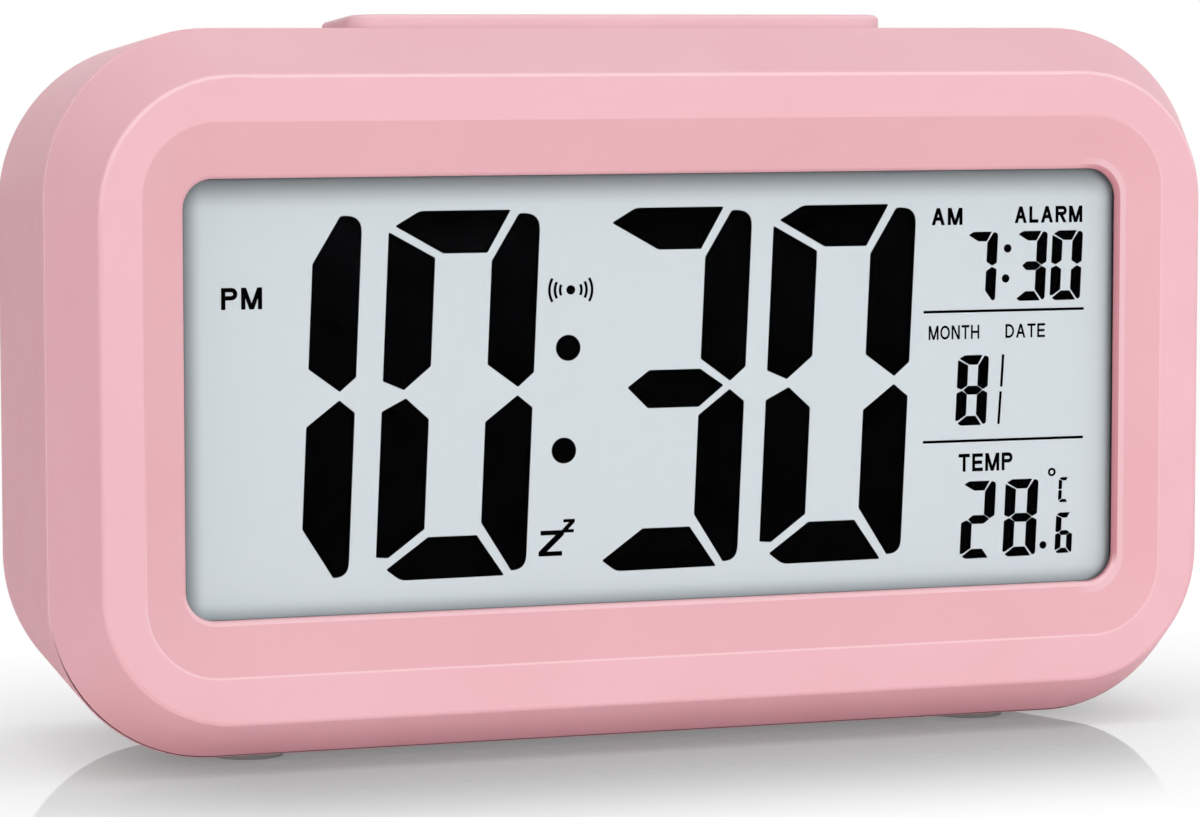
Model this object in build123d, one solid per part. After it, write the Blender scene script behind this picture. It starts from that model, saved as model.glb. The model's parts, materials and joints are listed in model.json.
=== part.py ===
from build123d import *
from math import radians, tan
import os

os.makedirs("parts", exist_ok=True)

# Digital alarm clock, in millimetres.
# X is to the right seen from the front, +Y to the back, +Z up.
# The origin is under the middle of the clock, on the surface that it stands on.
# Depths called t run back from the flat front ring, heights called z from the middle of the case.

# Case
CASE_W = 137.0
CASE_H = 79.6
CASE_D = 45.0
CORNER_R = 18.2
WALL = 2.0
REAR_WALL = 2.0
DRAFT = 3.3
REAR_ROUND = 6.0
FOOT_PROUD = 0.6
KEY_PROUD = 0.8

# Front bezel: chamfer, flat ring, slope down to the window, rounded lip
CHAMFER_SIDE = 4.0
CHAMFER_TOP = 5.0
CHAMFER_DEPTH = 9.7
RING_SIDE = 4.55
RING_TOP = 4.9
RING_WALL = 2.0
RING_R = 14.6
RING_IN_R = 8.3
SLOPE_SIDE = 5.0
SLOPE_TOP = 6.15
SLOPE_DEPTH = 1.9
WINDOW_R = 3.3
LIP_WALL = 0.6
LIP_ROUND = 0.75
EDGE_ROUND = 0.6
SEAM_ROUND = 0.25
TONGUE_DEPTH = 2.4
TONGUE_GAP = 0.1

# Display stack, front to back
LENS_T = 1.2
LENS_LAP = 2.2
GASKET_T = 0.3
GASKET_BACK = 0.55
GLASS_T = 1.1
POLARISER_T = 0.2
LEDGE = 2.4
FILM_T = 0.25
GUIDE_T = 2.5
TRAY_BACK_T = 0.9
TRAY_WALL = 1.2
TRAY_GAP = 0.2
STRIP_T = 1.5
STRIP_MARGIN = 8.0
LED_SPACE = 3.0
LED_BOARD_T = 0.8
LED_T = 1.5
LED_LONG = 3.0
LED_H = 1.4
LED_COUNT = 3
LED_PITCH = 14.0

# Main board and its posts
BOARD_T = 1.6
POST_R = 2.0
POST_Z = 14.0
BOARD_RIM = 2.4
STRIP_COVER = 0.8
CHIP_R = 6.0
CHIP_T = 1.6
CHIP_X = 8.0
CHIP_Z = 8.0
CRYSTAL_R = 1.5
CRYSTAL_L = 6.0
CRYSTAL_X = 26.0
CAP_R = 2.5
CAP_L = 8.0
CAP_X = -14.0
CAP_Z = 14.0
SENSOR_X = -50.0
SENSOR_Z = -4.0
SENSOR_R = 1.3
LEG_R = 0.3
LEG_PITCH = 1.4
CARD_R = 1.0
SMALL_ROUND = 0.3

# Screws
SCREW_R = 1.3
SCREW_HEAD_R = 2.3
SCREW_HEAD_T = 1.7
SCREW_SIDE = 20.5
SCREW_SEAT = 2.0
SCREW_BITE = 9.0
SMALL_SCREW_R = 0.9
SMALL_HEAD_R = 1.7
SMALL_HEAD_T = 1.2
SMALL_BITE = 4.5
TIP_GAP = 0.5
BOSS_R = 2.8
BOSS_GAP = 0.5
BOSS_END = 22.0
TUBE_R = 4.0
GUSSET_T = 1.2
THREAD_GAP = 0.05

# Snooze bar and the switch under it
BAR_HALF = 32.1
BAR_START = 15.6
BAR_DEPTH = 14.6
BAR_PROUD = 1.9
BAR_FALL = 1.1
BAR_CORNER = 3.0
BAR_ROUND = 0.6
BAR_WALL = 1.5
BAR_RIB = 1.0
BAR_GAP = 0.3
BAR_TRAVEL = 0.8
FLANGE_OUT = 1.1
FLANGE_T = 1.1
SMALL_BOARD_T = 1.2
SWITCH_SIDE = 6.0
SWITCH_T = 3.4
PLUNGER_R = 1.7
PLUNGER_T = 0.7
PRESS_GAP = 0.1
SNOOZE_POST_X = 38.0
SNOOZE_BOARD_RIM = 3.4
BAR_POST_R = 2.2

# Rear keys and the sliding switch
KEY_PITCH = 18.0
KEY_COUNT = 4
KEY_FIRST_X = -36.0
KEY_Z = 19.5
KEY_W = 9.0
KEY_H = 6.0
KEY_R = 2.0
KEY_GAP = 0.2
KEY_LIP = 1.0
KEY_LIP_T = 1.0
KEY_TRAVEL = 0.5
KEY_ROUND = 0.4
STEM_R = 1.6
STEM_L = 0.6
SLIDER_X = 36.0
SLIDER_TRAVEL = 3.0
SLIDER_W = 3.6
SLIDER_H = 3.0
SLIDER_PROUD = 0.6
SLIDER_SIDE_GAP = 0.2
LEVER_W = 1.6
SWITCH_BODY_W = 8.6
SWITCH_BODY_H = 3.8
KEY_BOARD_W = 86.0
KEY_BOARD_H = 14.0
KEY_POST_Z = 5.2

# Battery bay for three AAA cells, and its cover
CELL_R = 5.15
CELL_L = 44.5
NUB_R = 1.9
NUB_L = 1.0
CELL_ROUND = 0.4
CELL_PITCH = 10.7
CELL_COUNT = 3
CELL_SIDE_GAP = 0.35
CELL_FLOOR_GAP = 0.3
CELL_COVER_GAP = 0.5
CONTACT_T = 0.4
CONTACT_W = 8.0
CONTACT_H = 8.0
SPRING_L = 3.3
SPRING_W = 5.0
SOLDER_W = 2.0
SOLDER_OUT = 1.0
SOLDER_GAP = 0.1
BAY_Z = -10.8
BAY_WALL = 1.5
BAY_LEDGE = 1.4
LEDGE_T = 1.7
COVER_GAP = 0.25
TAB_X = 15.0
TAB_W = 7.0
TAB_OUT = 1.0
TAB_T = 1.0
TAB_ROOT = 3.0
LATCH_W = 13.0
LATCH_L = 8.0
SLIT = 0.8
RIDGE_T = 0.5
RIDGE_COUNT = 3
SCOOP_W = 14.0
SCOOP_DEPTH = 1.0

# Sounder, vents and feet
BUZZER_R = 11.0
BUZZER_T = 4.0
BUZZER_SIDE = 24.0
BUZZER_Z = -10.0
RING_GAP = 0.2
RING_RIB = 1.2
RING_H = 2.5
SOUND_HOLE_R = 0.8
SOUND_HOLE_PITCH = 3.0
SOUND_RINGS = 2
VENT_SIDE = 24.0
VENT_W = 1.3
VENT_L = 12.0
VENT_PITCH = 3.0
VENT_COUNT = 5
FOOT_SIDE = 24.5
FOOT_FRONT = 18.0
FOOT_REAR = 36.0
FOOT_R = 4.0
FOOT_T = 1.4
FOOT_RIM = 1.2
FOOT_SIDE_GAP = 0.1

# Fins behind the bezel's face that locate the display tray
FIN_T = 1.0
FIN_L = 4.0
FIN_X = 30.0
FIN_Z = 7.0

# Leads and ribbon
LEAD_R = 0.6
LEAD_OUT = 6.0
LEAD_PITCH = 3.0
LEAD_SWAY = 2.0
LEAD_RISE = 3.0
LEAD_DROP = 5.0
RIBBON_W = 8.0
RIBBON_T = 0.5
RIBBON_X = -37.0
RIBBON_SAG = 4.0

# Places worked out from the sizes above
FRONT = -(CASE_D + KEY_PROUD) / 2
MID = FOOT_PROUD + CASE_H / 2
HALF_W = CASE_W / 2
HALF_H = CASE_H / 2
SCREW_X = HALF_W - SCREW_SIDE
BUZZER_X = HALF_W - BUZZER_SIDE
VENT_X = VENT_SIDE - HALF_W
FOOT_X = HALF_W - FOOT_SIDE
SLOPE = tan(radians(DRAFT))
RING_HALF_W = HALF_W - CHAMFER_SIDE
RING_HALF_H = HALF_H - CHAMFER_TOP
RING_IN_W = RING_HALF_W - RING_SIDE
RING_IN_H = RING_HALF_H - RING_TOP
WINDOW_W = RING_IN_W - SLOPE_SIDE
WINDOW_H = RING_IN_H - SLOPE_TOP
LENS_W = WINDOW_W + LENS_LAP
LENS_H = WINDOW_H + LENS_LAP
GLASS_W = LENS_W - TRAY_GAP
GLASS_TOP = LENS_H - TRAY_GAP
GLASS_BOTTOM = -(LENS_H - TRAY_GAP) - LEDGE + TRAY_GAP
LENS_START = SLOPE_DEPTH + LIP_WALL
LENS_END = LENS_START + LENS_T
LCD_START = LENS_END + GASKET_T
CELL_END = LCD_START + 2 * GLASS_T + 2 * POLARISER_T
GUIDE_START = CELL_END + FILM_T
GUIDE_END = GUIDE_START + GUIDE_T
TRAY_START = GUIDE_END + FILM_T
BOARD_START = TRAY_START + TRAY_BACK_T
BOARD_END = BOARD_START + BOARD_T
TRAY_W = LENS_W + TRAY_GAP + TRAY_WALL
TRAY_TOP = LENS_H + TRAY_GAP + TRAY_WALL
TRAY_BOTTOM = GLASS_BOTTOM - TRAY_GAP - TRAY_WALL
STRIP_TOP = GLASS_BOTTOM + LEDGE - TRAY_GAP
STRIP_BOTTOM = STRIP_TOP - STRIP_T
BOARD_HALF_H = STRIP_COVER - STRIP_BOTTOM
GUIDE_BOTTOM = STRIP_TOP + TRAY_GAP
POST_X = TRAY_W + TRAY_GAP + POST_R
BOARD_HALF_W = POST_X + BOARD_RIM
SCREW_Z = -TRAY_BOTTOM + BOSS_R + BOSS_GAP
INNER_BACK = CASE_D - REAR_WALL
BAR_END = BAR_START + BAR_DEPTH


def top_at(t):
    """Height of the case's sloping top, above its middle, at depth t."""
    return HALF_H - (t - CHAMFER_DEPTH) * SLOPE


BAR_TOP = top_at(BAR_START) + BAR_PROUD
FLANGE_TOP = top_at(BAR_END + FLANGE_OUT) - WALL - PRESS_GAP
FLANGE_BOTTOM = FLANGE_TOP - FLANGE_T
PLUNGER_TOP = FLANGE_BOTTOM - BAR_TRAVEL - PRESS_GAP
SNOOZE_BOARD_TOP = PLUNGER_TOP - PLUNGER_T - SWITCH_T
SNOOZE_MID = BAR_START + BAR_DEPTH / 2

KEY_LIP_BACK = INNER_BACK - PRESS_GAP
KEY_LIP_FRONT = KEY_LIP_BACK - KEY_LIP_T
STEM_END = KEY_LIP_FRONT - STEM_L
KEY_BOARD_BACK = STEM_END - KEY_TRAVEL - PRESS_GAP - PLUNGER_T - SWITCH_T
KEY_BOARD_FRONT = KEY_BOARD_BACK - SMALL_BOARD_T
KEY_XS = [KEY_FIRST_X + i * KEY_PITCH for i in range(KEY_COUNT)]
KEY_POST_XS = [KEY_FIRST_X + KEY_PITCH / 2, SLIDER_X - KEY_PITCH / 2]
KEY_POST_HEIGHT = KEY_Z + KEY_POST_Z

BAY_HALF_W = (CELL_L + SPRING_L) / 2 + CONTACT_T
BAY_HALF_H = (CELL_PITCH * (CELL_COUNT - 1)) / 2 + CELL_R + CELL_SIDE_GAP
CELL_T = INNER_BACK - CELL_COVER_GAP - CELL_R
BAY_FLOOR = CELL_T - CELL_R - CELL_FLOOR_GAP
CONTACT_START = CELL_T - CONTACT_H / 2
CELL_ZS = [BAY_Z + (i - (CELL_COUNT - 1) / 2) * CELL_PITCH for i in range(CELL_COUNT)]
COVER_W = BAY_HALF_W + BAY_LEDGE
COVER_H = BAY_HALF_H + BAY_LEDGE
COVER_BOTTOM = BAY_Z - COVER_H
COVER_TOP = BAY_Z + COVER_H
COLLAR_START = INNER_BACK - LEDGE_T
FOOT_PLACES = [(x, t) for t in (FOOT_FRONT, FOOT_REAR) for x in (-FOOT_X, FOOT_X)]
SCREW_PLACES = [(x, z) for z in (-SCREW_Z, SCREW_Z) for x in (-SCREW_X, SCREW_X)]
POST_PLACES = [(x, z) for z in (-POST_Z, POST_Z) for x in (-POST_X, POST_X)]


def face_at(t):
    """Plane across the clock at depth t, with local x to the right and local y up."""
    return Plane(origin=(0, FRONT + t, MID), x_dir=(1, 0, 0), z_dir=(0, -1, 0))


def side_at(x):
    """Plane along the clock at x, with local x to the back and local y up."""
    return Plane(origin=(x, FRONT, MID), x_dir=(0, 1, 0), z_dir=(1, 0, 0))


def floor_at(z):
    """Level plane at height z, with local x to the right and local y to the back."""
    return Plane(origin=(0, FRONT, MID + z), x_dir=(1, 0, 0), z_dir=(0, 0, 1))


def plate(sketch, t0, t1):
    """Sketch drawn as seen from the front, extruded from depth t0 back to t1."""
    return extrude(face_at(t1) * sketch, amount=t1 - t0)


def block(x0, x1, t0, t1, z0, z1):
    """Box between the given planes."""
    sketch = Pos((x0 + x1) / 2, (z0 + z1) / 2) * Rectangle(x1 - x0, z1 - z0)
    return plate(sketch, t0, t1)


def rod(x, z, radius, t0, t1):
    """Round bar along the depth."""
    return plate(Pos(x, z) * Circle(radius), t0, t1)


def across(x, z, t, radius, length):
    """Round bar along X about its middle."""
    return Pos(x, FRONT + t, MID + z) * Rot(0, 90, 0) * Cylinder(radius, length)


def upright(x, t, radius, z0, z1):
    """Round bar standing between heights z0 and z1."""
    return extrude(floor_at(z0) * (Pos(x, t) * Circle(radius)), amount=z1 - z0)


def rounded(half_w, half_h, radius):
    """Rounded rectangle about the middle of the case."""
    return RectangleRounded(2 * half_w, 2 * half_h, radius)


def taper(sketch0, t0, sketch1, t1):
    """Straight-sided body from one section to another."""
    return loft([face_at(t0) * sketch0, face_at(t1) * sketch1], ruled=True)


def edges_at(shape, t, half_w, half_h):
    """Edges lying at depth t and inside the given half sizes."""
    found = []
    for edge in shape.edges():
        box = edge.bounding_box()
        flat = abs(box.min.Y - FRONT - t) < 0.01 and abs(box.max.Y - FRONT - t) < 0.01
        wide = max(abs(box.min.X), abs(box.max.X)) < half_w + 0.01
        tall = max(abs(box.min.Z - MID), abs(box.max.Z - MID)) < half_h + 0.01
        if flat and wide and tall:
            found.append(edge)
    return found


def shell_section(t, inset=0.0):
    """Outline of the rear housing at depth t, moved in by inset."""
    lost = (t - CHAMFER_DEPTH) * SLOPE + inset
    return rounded(HALF_W - lost, HALF_H - lost, CORNER_R - inset)


def bezel_section(t, inset=0.0):
    """Outline of the bezel's chamfer at depth t, moved in by inset."""
    share = 1 - t / CHAMFER_DEPTH
    half_w = HALF_W - CHAMFER_SIDE * share - inset
    half_h = HALF_H - CHAMFER_TOP * share - inset
    radius = CORNER_R + (RING_R - CORNER_R) * share - inset
    return rounded(half_w, half_h, radius)


# Front bezel

def bezel_skin():
    """Chamfered outside, ring, slope and window, with their rounded edges."""
    outline = rounded(HALF_W, HALF_H, CORNER_R)
    ring = rounded(RING_HALF_W, RING_HALF_H, RING_R)
    ring_in = rounded(RING_IN_W, RING_IN_H, RING_IN_R)
    window = rounded(WINDOW_W, WINDOW_H, WINDOW_R)
    body = taper(outline, CHAMFER_DEPTH, ring, 0)
    body = fillet(edges_at(body, 0, RING_HALF_W, RING_HALF_H), EDGE_ROUND)
    body = fillet(edges_at(body, CHAMFER_DEPTH, HALF_W, HALF_H), SEAM_ROUND)
    body -= taper(window, SLOPE_DEPTH, ring_in, 0)
    body -= plate(window, SLOPE_DEPTH, CHAMFER_DEPTH)
    body = fillet(edges_at(body, SLOPE_DEPTH, WINDOW_W, WINDOW_H), LIP_ROUND)
    return fillet(edges_at(body, 0, RING_IN_W, RING_IN_H), EDGE_ROUND)


def bezel_hollow():
    """Space behind the bezel's face, with a groove cored out behind the ring."""
    back, seat = bezel_section(CHAMFER_DEPTH, WALL), bezel_section(LENS_START, WALL)
    hollow = taper(back, CHAMFER_DEPTH, seat, LENS_START)
    groove = taper(seat, LENS_START, bezel_section(RING_WALL, WALL), RING_WALL)
    groove -= plate(rounded(RING_IN_W, RING_IN_H, RING_IN_R), 0, LENS_START)
    return hollow + groove


def bezel_posts():
    """Bosses for the case screws and posts for the main board."""
    posts = []
    reach = HALF_H - WALL / 2 - CHAMFER_TOP * (1 - LENS_START / CHAMFER_DEPTH)
    for x, z in SCREW_PLACES:
        posts.append(rod(x, z, BOSS_R, RING_WALL, BOSS_END))
        low, high = sorted((z, reach if z > 0 else -reach))
        posts.append(block(x - WALL / 4, x + WALL / 4, RING_WALL, BOARD_START, low, high))
    for x, z in POST_PLACES:
        posts.append(rod(x, z, POST_R, RING_WALL, BOARD_START))
    return posts


def tray_fins():
    """Fins that centre the display tray, from the case wall to just short of the tray."""
    fins = []
    t0, t1 = RING_WALL, LENS_START + FIN_L
    wall_x = HALF_W - WALL / 2 - CHAMFER_SIDE * (1 - LENS_START / CHAMFER_DEPTH)
    wall_z = HALF_H - WALL / 2 - CHAMFER_TOP * (1 - LENS_START / CHAMFER_DEPTH)
    for z in (-FIN_Z, FIN_Z):
        for x0, x1 in ((-wall_x, -TRAY_W - TRAY_GAP), (TRAY_W + TRAY_GAP, wall_x)):
            fins.append(block(x0, x1, t0, t1, z - FIN_T / 2, z + FIN_T / 2))
    for x in (-FIN_X, FIN_X):
        for z0, z1 in ((-wall_z, TRAY_BOTTOM - TRAY_GAP), (TRAY_TOP + TRAY_GAP, wall_z)):
            fins.append(block(x - FIN_T / 2, x + FIN_T / 2, t0, t1, z0, z1))
    return fins


def front_bezel():
    body = bezel_skin() - bezel_hollow()
    tongue = bezel_section(CHAMFER_DEPTH, WALL / 2 + TONGUE_GAP) - bezel_section(CHAMFER_DEPTH, WALL)
    body += plate(tongue, CHAMFER_DEPTH, CHAMFER_DEPTH + TONGUE_DEPTH)
    for part in bezel_posts() + tray_fins():
        body += part
    for x, z in SCREW_PLACES:
        body -= rod(x, z, SCREW_R + THREAD_GAP, BOSS_END - SCREW_BITE, BOSS_END)
    for x, z in POST_PLACES:
        body -= rod(x, z, SMALL_SCREW_R + THREAD_GAP, BOARD_START - SMALL_BITE, BOARD_START)
    return body


# Rear housing

def housing_skin():
    """Drafted outside with its rounded back edge."""
    body = taper(shell_section(CHAMFER_DEPTH), CHAMFER_DEPTH, shell_section(CASE_D), CASE_D)
    body = fillet(edges_at(body, CASE_D, HALF_W, HALF_H), REAR_ROUND)
    return fillet(edges_at(body, CHAMFER_DEPTH, HALF_W, HALF_H), SEAM_ROUND)


def housing_hollow():
    """Inside of the housing, with the rebate that takes the bezel's tongue."""
    front, back = shell_section(CHAMFER_DEPTH, WALL), shell_section(INNER_BACK, WALL)
    hollow = taper(front, CHAMFER_DEPTH, back, INNER_BACK)
    hollow = fillet(edges_at(hollow, INNER_BACK, HALF_W, HALF_H), REAR_ROUND - WALL)
    rebate_end = CHAMFER_DEPTH + TONGUE_DEPTH + TONGUE_GAP
    rebate = plate(bezel_section(CHAMFER_DEPTH, WALL / 2 - TONGUE_GAP), CHAMFER_DEPTH, rebate_end)
    return hollow + rebate


def bay_block(half_w, half_h, t0, t1):
    """Block about the middle of the battery bay."""
    return block(-half_w, half_w, t0, t1, BAY_Z - half_h, BAY_Z + half_h)


def tube_gussets(x, z):
    """Webs that tie a screw tube to the wall above or below it and to the end wall."""
    half = GUSSET_T / 2
    low, high = sorted((z, z / abs(z) * HALF_H))
    near, far = sorted((x, x / abs(x) * HALF_W))
    upright_web = block(x - half, x + half, BOSS_END, CASE_D, low, high)
    level_web = block(near, far, BOSS_END, CASE_D, z - half, z + half)
    return [upright_web, level_web]


def wall_ribs():
    """Ribs across the rear wall in line with the top and bottom of the cover's seat."""
    ribs = []
    for z in (COVER_BOTTOM - COVER_GAP - BAY_WALL, COVER_TOP + COVER_GAP):
        ribs.append(block(-HALF_W, HALF_W, COLLAR_START, INNER_BACK, z, z + BAY_WALL))
    return ribs


def housing_inner_walls():
    """Screw tubes, ribs, battery bay, posts and the sounder's ring."""
    walls = wall_ribs()
    for x, z in SCREW_PLACES:
        walls.append(rod(x, z, TUBE_R, BOSS_END, CASE_D))
        walls += tube_gussets(x, z)
    walls.append(bay_block(BAY_HALF_W + BAY_WALL, BAY_HALF_H + BAY_WALL, BAY_FLOOR - BAY_WALL, INNER_BACK))
    pocket_w = COVER_W + COVER_GAP + BAY_WALL
    pocket_h = COVER_H + COVER_GAP + BAY_WALL
    walls.append(bay_block(pocket_w, pocket_h, COLLAR_START, INNER_BACK))
    for x in KEY_POST_XS:
        walls.append(rod(x, KEY_POST_HEIGHT, POST_R, KEY_BOARD_BACK, INNER_BACK))
    for x in (-SNOOZE_POST_X, SNOOZE_POST_X):
        walls.append(upright(x, SNOOZE_MID, POST_R, SNOOZE_BOARD_TOP, top_at(SNOOZE_MID) - WALL / 2))
    ring = rod(BUZZER_X, BUZZER_Z, BUZZER_R + RING_GAP + RING_RIB, INNER_BACK - RING_H, INNER_BACK)
    ring -= rod(BUZZER_X, BUZZER_Z, BUZZER_R + RING_GAP, INNER_BACK - RING_H, INNER_BACK)
    walls.append(ring)
    return walls


def foot_pads():
    """Round pads that bring the drafted underside level with the front edge."""
    return [upright(x, t, FOOT_R + FOOT_RIM, -HALF_H, -top_at(t) + WALL / 2) for x, t in FOOT_PLACES]


def bay_cuts():
    """Inside of the battery bay, the seat of its cover and the notches for the cover's tabs."""
    cuts = [bay_block(BAY_HALF_W, BAY_HALF_H, BAY_FLOOR, CASE_D)]
    cuts.append(bay_block(COVER_W + COVER_GAP, COVER_H + COVER_GAP, INNER_BACK, CASE_D))
    notch_low = COVER_BOTTOM - COVER_GAP - BAY_WALL
    for x in (-TAB_X, TAB_X):
        half = TAB_W / 2 + COVER_GAP
        cuts.append(block(x - half, x + half, COLLAR_START, INNER_BACK, notch_low, BAY_Z))
    cuts.append(solder_tab(1, CELL_ZS[-1], SOLDER_GAP))
    cuts.append(solder_tab(-1, CELL_ZS[0], SOLDER_GAP))
    return cuts


def solder_tab(side, z, gap=0.0):
    """Tab that brings a contact out through the bay's end wall to its lead."""
    x0, x1 = sorted((side * (BAY_HALF_W - gap), side * (BAY_HALF_W + BAY_WALL + SOLDER_OUT)))
    half = SOLDER_W / 2 + gap
    return block(x0, x1, CONTACT_START - gap, CONTACT_START + CONTACT_T + gap, z - half, z + half)


def bay_cradles():
    """Ribs on the bay's floor, hollowed to the round of the cells."""
    ribs = []
    for x in (-BAY_HALF_W / 2, BAY_HALF_W / 2):
        rib = block(x - WALL / 2, x + WALL / 2, BAY_FLOOR, CELL_T, BAY_Z - BAY_HALF_H, BAY_Z + BAY_HALF_H)
        for z in CELL_ZS:
            rib -= across(x, z, CELL_T, CELL_R + CELL_FLOOR_GAP, 2 * WALL)
        ribs.append(rib)
    return ribs


def rear_openings():
    """Key holes, slider slot, sound holes and vents, cut through the rear wall."""
    cuts = []
    for x in KEY_XS:
        cuts.append(plate(Pos(x, KEY_Z) * RectangleRounded(KEY_W, KEY_H, KEY_R), INNER_BACK, CASE_D))
    slot_w = SLIDER_W + SLIDER_TRAVEL + 2 * SLIDER_SIDE_GAP
    slot_h = SLIDER_H + 2 * SLIDER_SIDE_GAP
    slot = Pos(SLIDER_X + SLIDER_TRAVEL / 2, KEY_Z) * Rectangle(slot_w, slot_h)
    cuts.append(plate(slot, INNER_BACK, CASE_D))
    across_rings = 2 * SOUND_RINGS + 1
    for place in HexLocations(SOUND_HOLE_PITCH / 2, across_rings, across_rings):
        if place.position.length < (SOUND_RINGS + 0.5) * SOUND_HOLE_PITCH:
            x, z = place.position.X + BUZZER_X, place.position.Y + BUZZER_Z
            cuts.append(rod(x, z, SOUND_HOLE_R, INNER_BACK, CASE_D))
    for i in range(VENT_COUNT):
        z = BUZZER_Z + (i - (VENT_COUNT - 1) / 2) * VENT_PITCH
        cuts.append(plate(Pos(VENT_X, z) * SlotOverall(VENT_L, VENT_W), INNER_BACK, CASE_D))
    return cuts


def finger_scoop():
    """Shallow round dish above the battery cover's latch."""
    radius = ((SCOOP_W / 2) ** 2 + SCOOP_DEPTH ** 2) / (2 * SCOOP_DEPTH)
    return Pos(0, FRONT + CASE_D + radius - SCOOP_DEPTH, MID + COVER_TOP) * Sphere(radius)


def bar_plan(outset=0.0):
    """Outline of the snooze bar seen from above, moved out by outset."""
    sketch = RectangleRounded(2 * (BAR_HALF + outset), BAR_DEPTH + 2 * outset, BAR_CORNER + outset)
    return Pos(0, SNOOZE_MID) * sketch


def rear_housing():
    skin = housing_skin()
    body = skin - housing_hollow()
    for wall in housing_inner_walls():
        body += wall & skin
    for pad in foot_pads():
        body += pad
    body -= bay_cuts()
    for rib in bay_cradles():
        body += rib
    for x, z in SCREW_PLACES:
        body -= rod(x, z, SCREW_HEAD_R + 2 * KEY_GAP, BOSS_END + SCREW_SEAT, CASE_D)
        body -= rod(x, z, SCREW_R + KEY_GAP, BOSS_END, BOSS_END + SCREW_SEAT)
    for x in KEY_POST_XS:
        hole_end = KEY_BOARD_BACK + SMALL_BITE
        body -= rod(x, KEY_POST_HEIGHT, SMALL_SCREW_R + THREAD_GAP, KEY_BOARD_BACK, hole_end)
    for x in (-SNOOZE_POST_X, SNOOZE_POST_X):
        low = SNOOZE_BOARD_TOP
        body -= upright(x, SNOOZE_MID, SMALL_SCREW_R + THREAD_GAP, low, low + SMALL_BITE)
    body -= rear_openings()
    body -= finger_scoop()
    body -= extrude(floor_at(FLANGE_TOP) * bar_plan(BAR_GAP), amount=BAR_PROUD + HALF_H - FLANGE_TOP)
    for x, t in FOOT_PLACES:
        body -= upright(x, t, FOOT_R + FOOT_SIDE_GAP, -HALF_H, -HALF_H + FOOT_T - FOOT_PROUD)
    return body


# Display

def display_lens():
    return plate(rounded(LENS_W, LENS_H, WINDOW_R), LENS_START, LENS_END)


def glass_sheet(t0, t1, bottom):
    """Flat sheet of the display cell down to the given height."""
    return block(-GLASS_W, GLASS_W, t0, t1, bottom, GLASS_TOP)


def display_gasket():
    """Foam frame that keeps dust out and spaces the display from the lens."""
    hole = rounded(WINDOW_W + GASKET_BACK, WINDOW_H + GASKET_BACK, WINDOW_R)
    return glass_sheet(LENS_END, LCD_START, GUIDE_BOTTOM) - plate(hole, LENS_END, LCD_START)


def front_polariser():
    return glass_sheet(LCD_START, LCD_START + POLARISER_T, GUIDE_BOTTOM)


def lcd_cell():
    """Two glass plates; the front one stands lower and carries the contact ledge."""
    t0 = LCD_START + POLARISER_T
    front = glass_sheet(t0, t0 + GLASS_T, GLASS_BOTTOM)
    return front + glass_sheet(t0 + GLASS_T, t0 + 2 * GLASS_T, GUIDE_BOTTOM)


def rear_polariser():
    return glass_sheet(CELL_END - POLARISER_T, CELL_END, GUIDE_BOTTOM)


def guide_sheet(t0, t1):
    return block(-GLASS_W + LED_SPACE, GLASS_W, t0, t1, GUIDE_BOTTOM, GLASS_TOP)


def diffuser_film():
    return guide_sheet(CELL_END, GUIDE_START)


def light_guide():
    return guide_sheet(GUIDE_START, GUIDE_END)


def reflector_sheet():
    return guide_sheet(GUIDE_END, TRAY_START)


def led_board():
    half = LED_PITCH * LED_COUNT / 2
    return block(-GLASS_W, -GLASS_W + LED_BOARD_T, GUIDE_START, GUIDE_END, -half, half)


def backlight_leds():
    x0 = -GLASS_W + LED_BOARD_T
    middle = (GUIDE_START + GUIDE_END) / 2
    low, high = middle - LED_H / 2, middle + LED_H / 2
    leds = []
    for i in range(LED_COUNT):
        z = (i - (LED_COUNT - 1) / 2) * LED_PITCH
        leds.append(block(x0, x0 + LED_T, low, high, z - LED_LONG / 2, z + LED_LONG / 2))
    return Compound(leds)


def backlight_tray():
    """White tray that holds the display, light guide and films, with a slot for the contact strip."""
    middle = (TRAY_TOP + TRAY_BOTTOM) / 2
    half_h = (TRAY_TOP - TRAY_BOTTOM) / 2
    body = plate(Pos(0, middle) * rounded(TRAY_W, half_h, TRAY_WALL), LENS_START, BOARD_START)
    inner_w = TRAY_W - TRAY_WALL
    body -= block(-inner_w, inner_w, LENS_START, TRAY_START, TRAY_BOTTOM + TRAY_WALL, TRAY_TOP - TRAY_WALL)
    strip_w = GLASS_W - STRIP_MARGIN + TRAY_GAP
    body -= block(-strip_w, strip_w, TRAY_START, BOARD_START, STRIP_BOTTOM - TRAY_GAP, STRIP_TOP + TRAY_GAP)
    return body


def contact_strip():
    """Elastomer strip that joins the display's contact ledge to the main board."""
    half = GLASS_W - STRIP_MARGIN
    start = LCD_START + POLARISER_T + GLASS_T
    return block(-half, half, start, BOARD_START, STRIP_BOTTOM, STRIP_TOP)


# Boards

def main_board():
    body = plate(rounded(BOARD_HALF_W, BOARD_HALF_H, BOARD_RIM), BOARD_START, BOARD_END)
    for x, z in POST_PLACES:
        body -= rod(x, z, SMALL_SCREW_R + KEY_GAP, BOARD_START, BOARD_END)
    return body


def clock_chip():
    """Drop of black resin over the bare chip."""
    ball_r = (CHIP_R ** 2 + CHIP_T ** 2) / (2 * CHIP_T)
    ball = Pos(CHIP_X, FRONT + BOARD_END + CHIP_T - ball_r, MID + CHIP_Z) * Sphere(ball_r)
    space = block(CHIP_X - ball_r, CHIP_X + ball_r, BOARD_END, BOARD_END + 2 * CHIP_T,
                  CHIP_Z - ball_r, CHIP_Z + ball_r)
    return ball & space


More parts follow.
